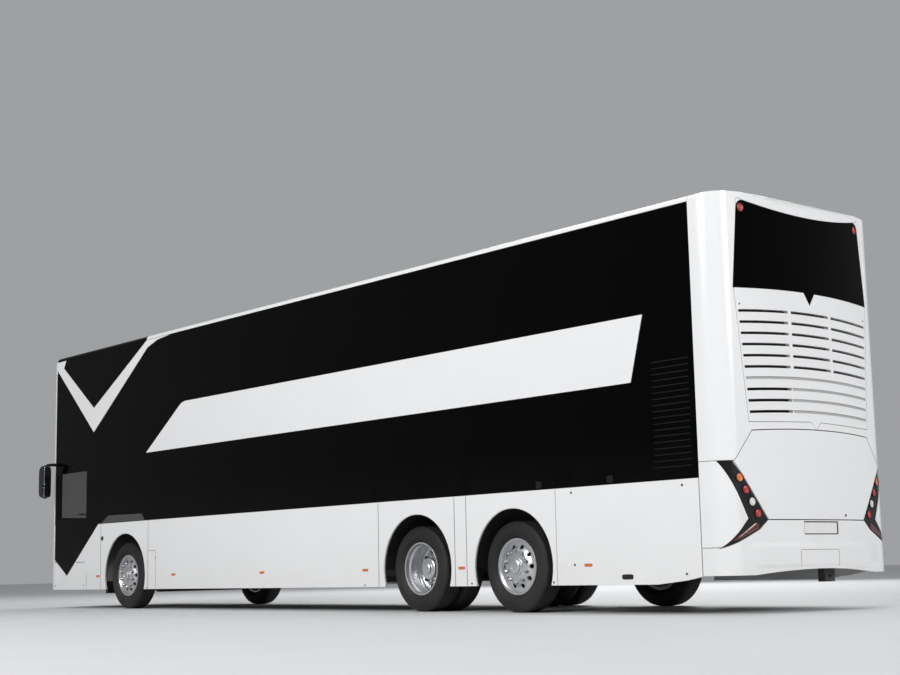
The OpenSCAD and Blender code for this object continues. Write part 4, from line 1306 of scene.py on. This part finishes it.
@dataclass(frozen=True)
class ArchLiners:
    """Dark liners inside the rear wheel arches, and rolled lips round all arches."""

    inner_y: float = 0.60
    outer_y: float = 1.243
    liner_gap: float = 0.016
    rib_h: float = 0.002
    ribs: int = 14
    lip_r: float = 0.006
    lip_in: float = 0.008
    lip_sink: float = 0.001
    lip_past: float = 0.30

    def dress(self) -> None:
        """Builds liners and lips."""
        liners = merge(self._liner(axle, side) for axle in (Axle.DRIVE, Axle.TAG) for side in Side)
        piece("arch_liners", liners, Paints.SEAL, 60)
        lips = merge(self._lip(axle, side) for axle in Axle for side in Side)
        piece("arch_lips", lips, Paints.WHITE, 60)

    @staticmethod
    def _arc(axle: Axle, a: np.ndarray, r: np.ndarray | float, y: np.ndarray) -> np.ndarray:
        """Points X = x + R cos a, Z = z + R sin a round an axle's middle."""
        return np.stack([axle.value + r*np.cos(a), y, SHELL.axle_z + r*np.sin(a)], -1)

    def _liner(self, axle: Axle, side: Side) -> Surface:
        """Half drum over the depth of the arch, with shallow ribs.

        Args:
            axle: Axle of the arch.
            side: Side of the arch.

        Returns:
            The liner.
        """
        a, y = table(np.linspace(0.0, np.pi, 49), np.linspace(self.inner_y, self.outer_y, 8))
        r = SHELL.arch_r + self.liner_gap + self.rib_h*np.cos(self.ribs*a)
        return grid(self._arc(axle, a, r, side.value*y))

    def _lip(self, axle: Axle, side: Side) -> Surface:
        """Thin rolled bead along the arch's edge.

        Args:
            axle: Axle of the arch.
            side: Side of the arch.

        Returns:
            The lip.
        """
        a = np.linspace(-self.lip_past, np.pi + self.lip_past, 80)
        y = np.full_like(a, side.value*(SHELL.half_w - self.lip_in))
        return tube(self._arc(axle, a, SHELL.arch_r - self.lip_sink, y), self.lip_r, 10)


@dataclass(frozen=True)
class Mirrors:
    """Rounded mirror heads on their arms, with the glass facing the rear."""

    x: float = SHELL.nose_joint - 0.020
    y: float = SHELL.half_w + 0.200
    head: Pad = Pad((0.176, 0.146, 0.458), square=0.28)
    block_h: float = 0.536
    head_lift: float = 0.002
    # Places of the arm's points: X from the head, Y out of the flank and Z below the block's top
    arm: tuple[Vec, ...] = (
        (-0.04, 0.001, 0.030), (-0.03, 0.09, 0.027), (-0.01, 0.16, 0.035), (0.0, 0.200, 0.065))
    arm_r: float = 0.024
    # Height above the head's middle and height of each pane
    panes: Profile = ((0.085, 0.30), (-0.165, 0.15))
    pane_w: float = 0.118
    pane_sink: float = 0.001
    pane_proud: float = 0.004

    def dress(self) -> None:
        """Builds both mirrors in place of their CAD blocks."""
        for side in Side:
            low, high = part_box(f"mirror_{side.word}")
            middle = (self.x, side.value*self.y, low.z + self.block_h/2 + self.head_lift)
            path = [(self.x + dx, side.value*(SHELL.half_w + out), high.z - drop)
                    for dx, out, drop in self.arm]
            whole = merge([self.head.on(middle), tube(path, self.arm_r, 16)])
            obj = piece(f"mirror_head_{side.word}", whole, Paints.TRIM, 60)
            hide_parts(f"mirror_{side.word}")
            centre = Place(middle, ACROSS, UP, (-1, 0, 0))
            out = self.head.size[0]/2 - self.pane_sink
            panes = merge(Button(self.pane_w, h, self.pane_proud, 7).on(centre.shifted(0.0, rise, out))
                          for rise, h in self.panes)
            piece(f"mirror_panes_{side.word}", panes, Paints.MIRROR, 60)


@dataclass(frozen=True)
class Doors:
    """Glass and grab bars of the two door leaves."""

    leaf_w: float = 0.95
    low_z: float = 0.305
    high_z: float = 2.07
    # Front edge of each leaf, by its body
    fronts: tuple[tuple[str, float], ...] = (
        ("front_door", SHELL.nose_joint - 0.440), ("middle_door", SHELL.at(6420)))
    stile: float = 0.09
    mullion: float = 0.025
    kick_h: float = 0.35
    lap: float = 0.016
    pane_in: float = 0.012
    pane_proud: float = 0.006
    bar_x: float = 0.06
    bar_y: float = SHELL.half_w - 0.039
    bar_r: float = 0.012
    # Distance inwards and height of each point of the grab bar
    bar: Profile = ((0.036, 0.62), (0.0, 0.66), (0.0, 1.1), (0.0, 1.5), (0.036, 1.54))

    def dress(self) -> None:
        """Builds the panes and bars of each door."""
        for body, front in self.fronts:
            back, middle = front - self.leaf_w, front - self.leaf_w/2
            lights = ((back + self.stile, middle - self.mullion), (middle + self.mullion, front - self.stile))
            z0, z1 = self.low_z + self.kick_h, self.high_z - self.stile
            panes = merge(
                Button(b - a + self.lap, z1 - z0 + self.lap, self.pane_proud, 26, 80).on(
                    Place.flank((a + b)/2, (z0 + z1)/2, Side.RIGHT, SHELL.half_w - self.pane_in))
                for a, b in lights)
            piece(f"{body}_panes", panes, Paints.LIGHT_GLASS, 60, body)
            path = [(back + self.bar_x, inwards - self.bar_y, z) for inwards, z in self.bar]
            piece(f"{body}_bar", tube(path, self.bar_r), Paints.STEEL, 60, body)


@dataclass(frozen=True)
class Seats:
    """Seat cushions, backs and head pads in place of the plain CAD seats."""

    pitch: float = 0.810
    seat_y: float = 0.745
    half_pair: float = 0.225
    fill: float = 0.8
    # First row in millimetres from the tail's joint, and number of rows
    upper_rows: tuple[float, int] = (420, 15)
    lower_right: tuple[float, int] = (6650, 4)
    lower_left: tuple[float, int] = (7500, 2)
    stairs: tuple[float, ...] = (9300, 5250)
    # Reach of a seat and of a stair well, along the body
    seat_span: Point = (-0.10, 0.48)
    well_span: Point = (-0.06, 1.98)
    driver_x: float = SHELL.nose_joint - 1.5
    seat: Pad = Pad((0.46, 0.43, 0.13), (0.24, 0.0, 0.375), 0.0, 0.34, 3)
    back: Pad = Pad((0.68, 0.42, 0.11), (0.025, 0.0, 0.68), -1.37, 0.34, 4)
    head: Pad = Pad((0.30, 0.24, 0.075), (-0.028, 0.0, 0.955), -1.39, 0.4)
    leg_x: float = 0.2
    leg: Profile = ((0.09, 0.002), (0.09, 0.03), (0.035, 0.05), (0.035, 0.31))

    def _rows(self, first: float, count: int) -> list[float]:
        """Places of rows at the seats' pitch."""
        return [SHELL.at(first) + k*self.pitch for k in range(count)]

    def _clear(self, x: float) -> bool:
        """Whether a seat at a place stays clear of both stair wells."""
        spans = [[SHELL.at(d) + end for end in self.well_span] for d in self.stairs]
        return not any(x + self.seat_span[1] > low and x + self.seat_span[0] < high for low, high in spans)

    def spots(self, deck: Deck) -> list[Vec]:
        """Foot of every seat of a deck.

        Args:
            deck: The deck.

        Returns:
            The seats' places; the driver's is the lower deck's last.
        """
        if deck is Deck.UPPER:
            right = self._rows(*self.upper_rows)
            left = [x for x in right if self._clear(x)]
        else:
            right, left = self._rows(*self.lower_right), self._rows(*self.lower_left)
        z = deck.value
        pairs = [(x, Side.RIGHT) for x in right] + [(x, Side.LEFT) for x in left]
        places = (self.seat_y - self.half_pair, self.seat_y + self.half_pair)
        feet = [(x, side.value*y, z) for x, side in pairs for y in places]
        if deck is Deck.LOWER:
            feet.append((self.driver_x, self.seat_y, z))
        return feet

    def dress(self) -> None:
        """Builds the seats of both decks and the driver's."""
        radii = [r for r, _ in self.leg]
        for deck in Deck:
            spots = self.spots(deck)
            pads = merge(pad.on(spot) for spot in spots for pad in (self.seat, self.back))
            piece(f"{deck.word}_seat_pads", pads, Paints.CLOTH, 60)
            heads = merge(self.head.on(spot) for spot in spots)
            piece(f"{deck.word}_head_pads", heads, Paints.LEATHER, 60)
            legs = merge(tube([(x + self.leg_x, y, z + h) for _, h in self.leg], radii, 20)
                         for x, y, z in spots)
            base = piece(f"{deck.word}_seat_legs", legs, Paints.STEEL, 40)
            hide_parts(f"{deck.word}_seats")


@dataclass(frozen=True)
class FrontFittings:
    """Lamps, corner strips and wipers of the nose."""

    # Place across, height and radius of each lamp
    lamps: tuple[Vec, ...] = ((1.085, 0.730, 0.062), (0.985, 0.660, 0.050), (0.885, 0.615, 0.038))
    lamp_sink: float = 0.004
    # Share of the lamp's radius, radius past that share, and height of each ring of an optic
    optic: tuple[Vec, ...] = (
        (1.0, 0.0, -0.002), (1.0, 0.004, 0.002), (1.0, 0.0, 0.004), (1.0, -0.004, 0.001), (0.7, 0.0, -0.002),
        (0.45, 0.0, -0.003), (0.40, 0.0, 0.003), (0.25, 0.0, 0.006), (0.0, 0.001, 0.007))
    strip_turn: Point = (2, 23)
    strip_z: Point = (1.308, 3.69)
    strip_proud: float = 0.0015
    wiper_y: float = 0.42
    wiper_z: Point = (1.325, 1.485)
    blade_l: float = 0.62
    arm_r: Point = (0.009, 0.006)
    arm_out: float = 0.012
    blade_r: float = 0.007
    blade_out: float = 0.008
    blade_flat: float = 1.6

    def dress(self) -> None:
        """Builds the lamps' optics, the corner strips and the wipers."""
        cups = merge(self._cup(Place.nose(side.value*y, z, self.lamp_sink), r)
                     for side in Side for y, z, r in self.lamps)
        piece("headlamp_cups", cups, Paints.CHROME, 30)
        piece("front_edges", merge(self._strip(side) for side in Side), Paints.WHITE, 60)
        wipers = merge(part for side in Side for part in self._wiper(side))
        piece("wipers", wipers, Paints.TRIM, 50)

    def _strip(self, side: Side) -> Surface:
        """White strip round the corner of both screens: x = joint + R sin a, y = centre + R cos a.

        Args:
            side: Side of the strip.

        Returns:
            The strip.
        """
        a, z = table(np.radians(np.linspace(*self.strip_turn, 12)), np.linspace(*self.strip_z, 60))
        r = SHELL.nose_corner + self.strip_proud
        y = SHELL.half_w - SHELL.nose_corner + r*np.cos(a)
        return grid(np.stack([SHELL.nose_joint + r*np.sin(a), side.value*y, z], -1))

    def _cup(self, place: Place, r: float) -> Surface:
        """Lamp optic: a bright ring round a stepped bowl with a bulb's cap in its middle."""
        return revolve(place, [(r*share + past, h) for share, past, h in self.optic])

    def _wiper(self, side: Side) -> list[Surface]:
        """Arm and blade of one wiper, laid on the lower screen.

        Args:
            side: Side of the wiper.

        Returns:
            The arm, which narrows to its tip, and the flat blade.
        """
        t = np.linspace(0, 1, 24)
        foot, tip = self.wiper_z
        middle = side.value*self.wiper_y
        arm_y, arm_z = middle - self.blade_l/2*t, foot + (tip - foot)*t
        blade_y, blade_z = middle + self.blade_l*t - self.blade_l/2, np.full_like(t, tip)
        arm = np.stack([SHELL.nose_x(arm_y, arm_z) + self.arm_out, arm_y, arm_z], -1)
        blade = np.stack([SHELL.nose_x(blade_y, blade_z) + self.blade_out, blade_y, blade_z], -1)
        thick, thin = self.arm_r
        return [tube(arm, thick - (thick - thin)*t, 10), tube(blade, self.blade_r, 10, self.blade_flat)]


@dataclass(frozen=True)
class Softbox:
    """A square soft light at a place, turned to its aim."""

    name: str
    place: Vec
    aim: Vec
    size: float
    power: float

    def build(self) -> None:
        """Adds the light."""
        data = bpy.data.lights.new(self.name, "AREA")
        data.size = self.size
        data.energy = self.power
        lamp = bpy.data.objects.new(self.name, data)
        lamp.location = self.place
        lamp.rotation_euler = (Vector(self.aim) - Vector(self.place)).to_track_quat("-Z", "Y").to_euler()
        bpy.context.scene.collection.objects.link(lamp)


@dataclass(frozen=True)
class Studio:
    """Pale floor, soft lights and the photograph's camera."""

    focal_px: float = 1545.01
    frame_px: float = 900.0
    sensor_mm: float = 36.0
    far: float = 500.0
    yaw: float = -40.039
    pitch: float = 8.5529
    roll: float = -1.2237
    eye: Vec = (-16.2528, 12.3278, 0.4598)
    floor_half: float = 120.0
    floor_z: float = -0.001
    world_colour: Colour = (0.86, 0.875, 0.90)
    world_strength: float = 0.40
    lights: tuple[Softbox, ...] = (
        Softbox("key", (-6.0, 23.0, 14.0), (0.0, 0.0, 1.5), 11.0, 4300.0),
        Softbox("tail", (-24.0, -3.0, 9.0), (-6.0, 0.0, 2.0), 8.0, 1900.0),
        Softbox("top", (0.0, 0.0, 16.0), (0.0, 0.0, 0.0), 16.0, 700.0),
        Softbox("off_side", (10.0, -16.0, 10.0), (0.0, 0.0, 1.5), 10.0, 1800.0))

    def build(self) -> None:
        """Sets up the whole studio."""
        self._floor()
        self._world()
        for light in self.lights:
            light.build()
        self._camera()

    def _floor(self) -> None:
        """Large pale floor just below the tyres."""
        side = np.linspace(-self.floor_half, self.floor_half, 3)
        x, y = table(side, side)
        surface = grid(np.stack([x, y, np.full_like(x, self.floor_z)], -1))
        mesh = bpy.data.meshes.new("floor")
        mesh.from_pydata(surface.verts.tolist(), [], surface.quads.tolist())
        mesh.materials.append(Paints.STUDIO.build())
        floor = bpy.data.objects.new("floor", mesh)
        bpy.context.scene.collection.objects.link(floor)

    def _world(self) -> None:
        """Even pale surroundings, and the Standard view."""
        world = bpy.data.worlds.new("studio")
        world.use_nodes = True
        background = world.node_tree.nodes["Background"]
        background.inputs["Color"].default_value = (*self.world_colour, 1.0)
        background.inputs["Strength"].default_value = self.world_strength
        bpy.context.scene.world = world
        bpy.context.scene.view_settings.view_transform = "Standard"

    def _camera(self) -> None:
        """Camera from the fit to the body's lines: three angles, place and focal length."""
        yaw, pitch, roll = (math.radians(a) for a in (self.yaw, self.pitch, self.roll))
        ahead = Vector((math.cos(yaw)*math.cos(pitch), math.sin(yaw)*math.cos(pitch), math.sin(pitch)))
        right = Vector((math.sin(yaw), -math.cos(yaw), 0))
        up = right.cross(ahead)
        across = math.cos(roll)*right + math.sin(roll)*up
        above = -math.sin(roll)*right + math.cos(roll)*up
        data = bpy.data.cameras.new("camera")
        data.sensor_fit = "HORIZONTAL"
        data.sensor_width = self.sensor_mm
        data.lens = self.focal_px*self.sensor_mm/self.frame_px
        data.clip_end = self.far
        camera = bpy.data.objects.new("camera", data)
        turn = Matrix((across, above, -ahead)).transposed()
        camera.matrix_world = Matrix.Translation(self.eye) @ turn.to_4x4()
        bpy.context.scene.collection.objects.link(camera)
        bpy.context.scene.camera = camera


def main() -> None:
    """Builds the studio, dresses the bodywork and adds each group of fittings."""
    logging.basicConfig(level=logging.INFO, format="%(message)s")
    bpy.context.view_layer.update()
    Studio().build()
    groups = (Bodywork, Wheels, TailFittings, FlankFittings, ArchLiners, Mirrors, Doors, Seats, FrontFittings)
    for group in groups:
        LOG.info("building %s", group.__name__)
        group().dress()


if __name__ == "__main__":
    main()
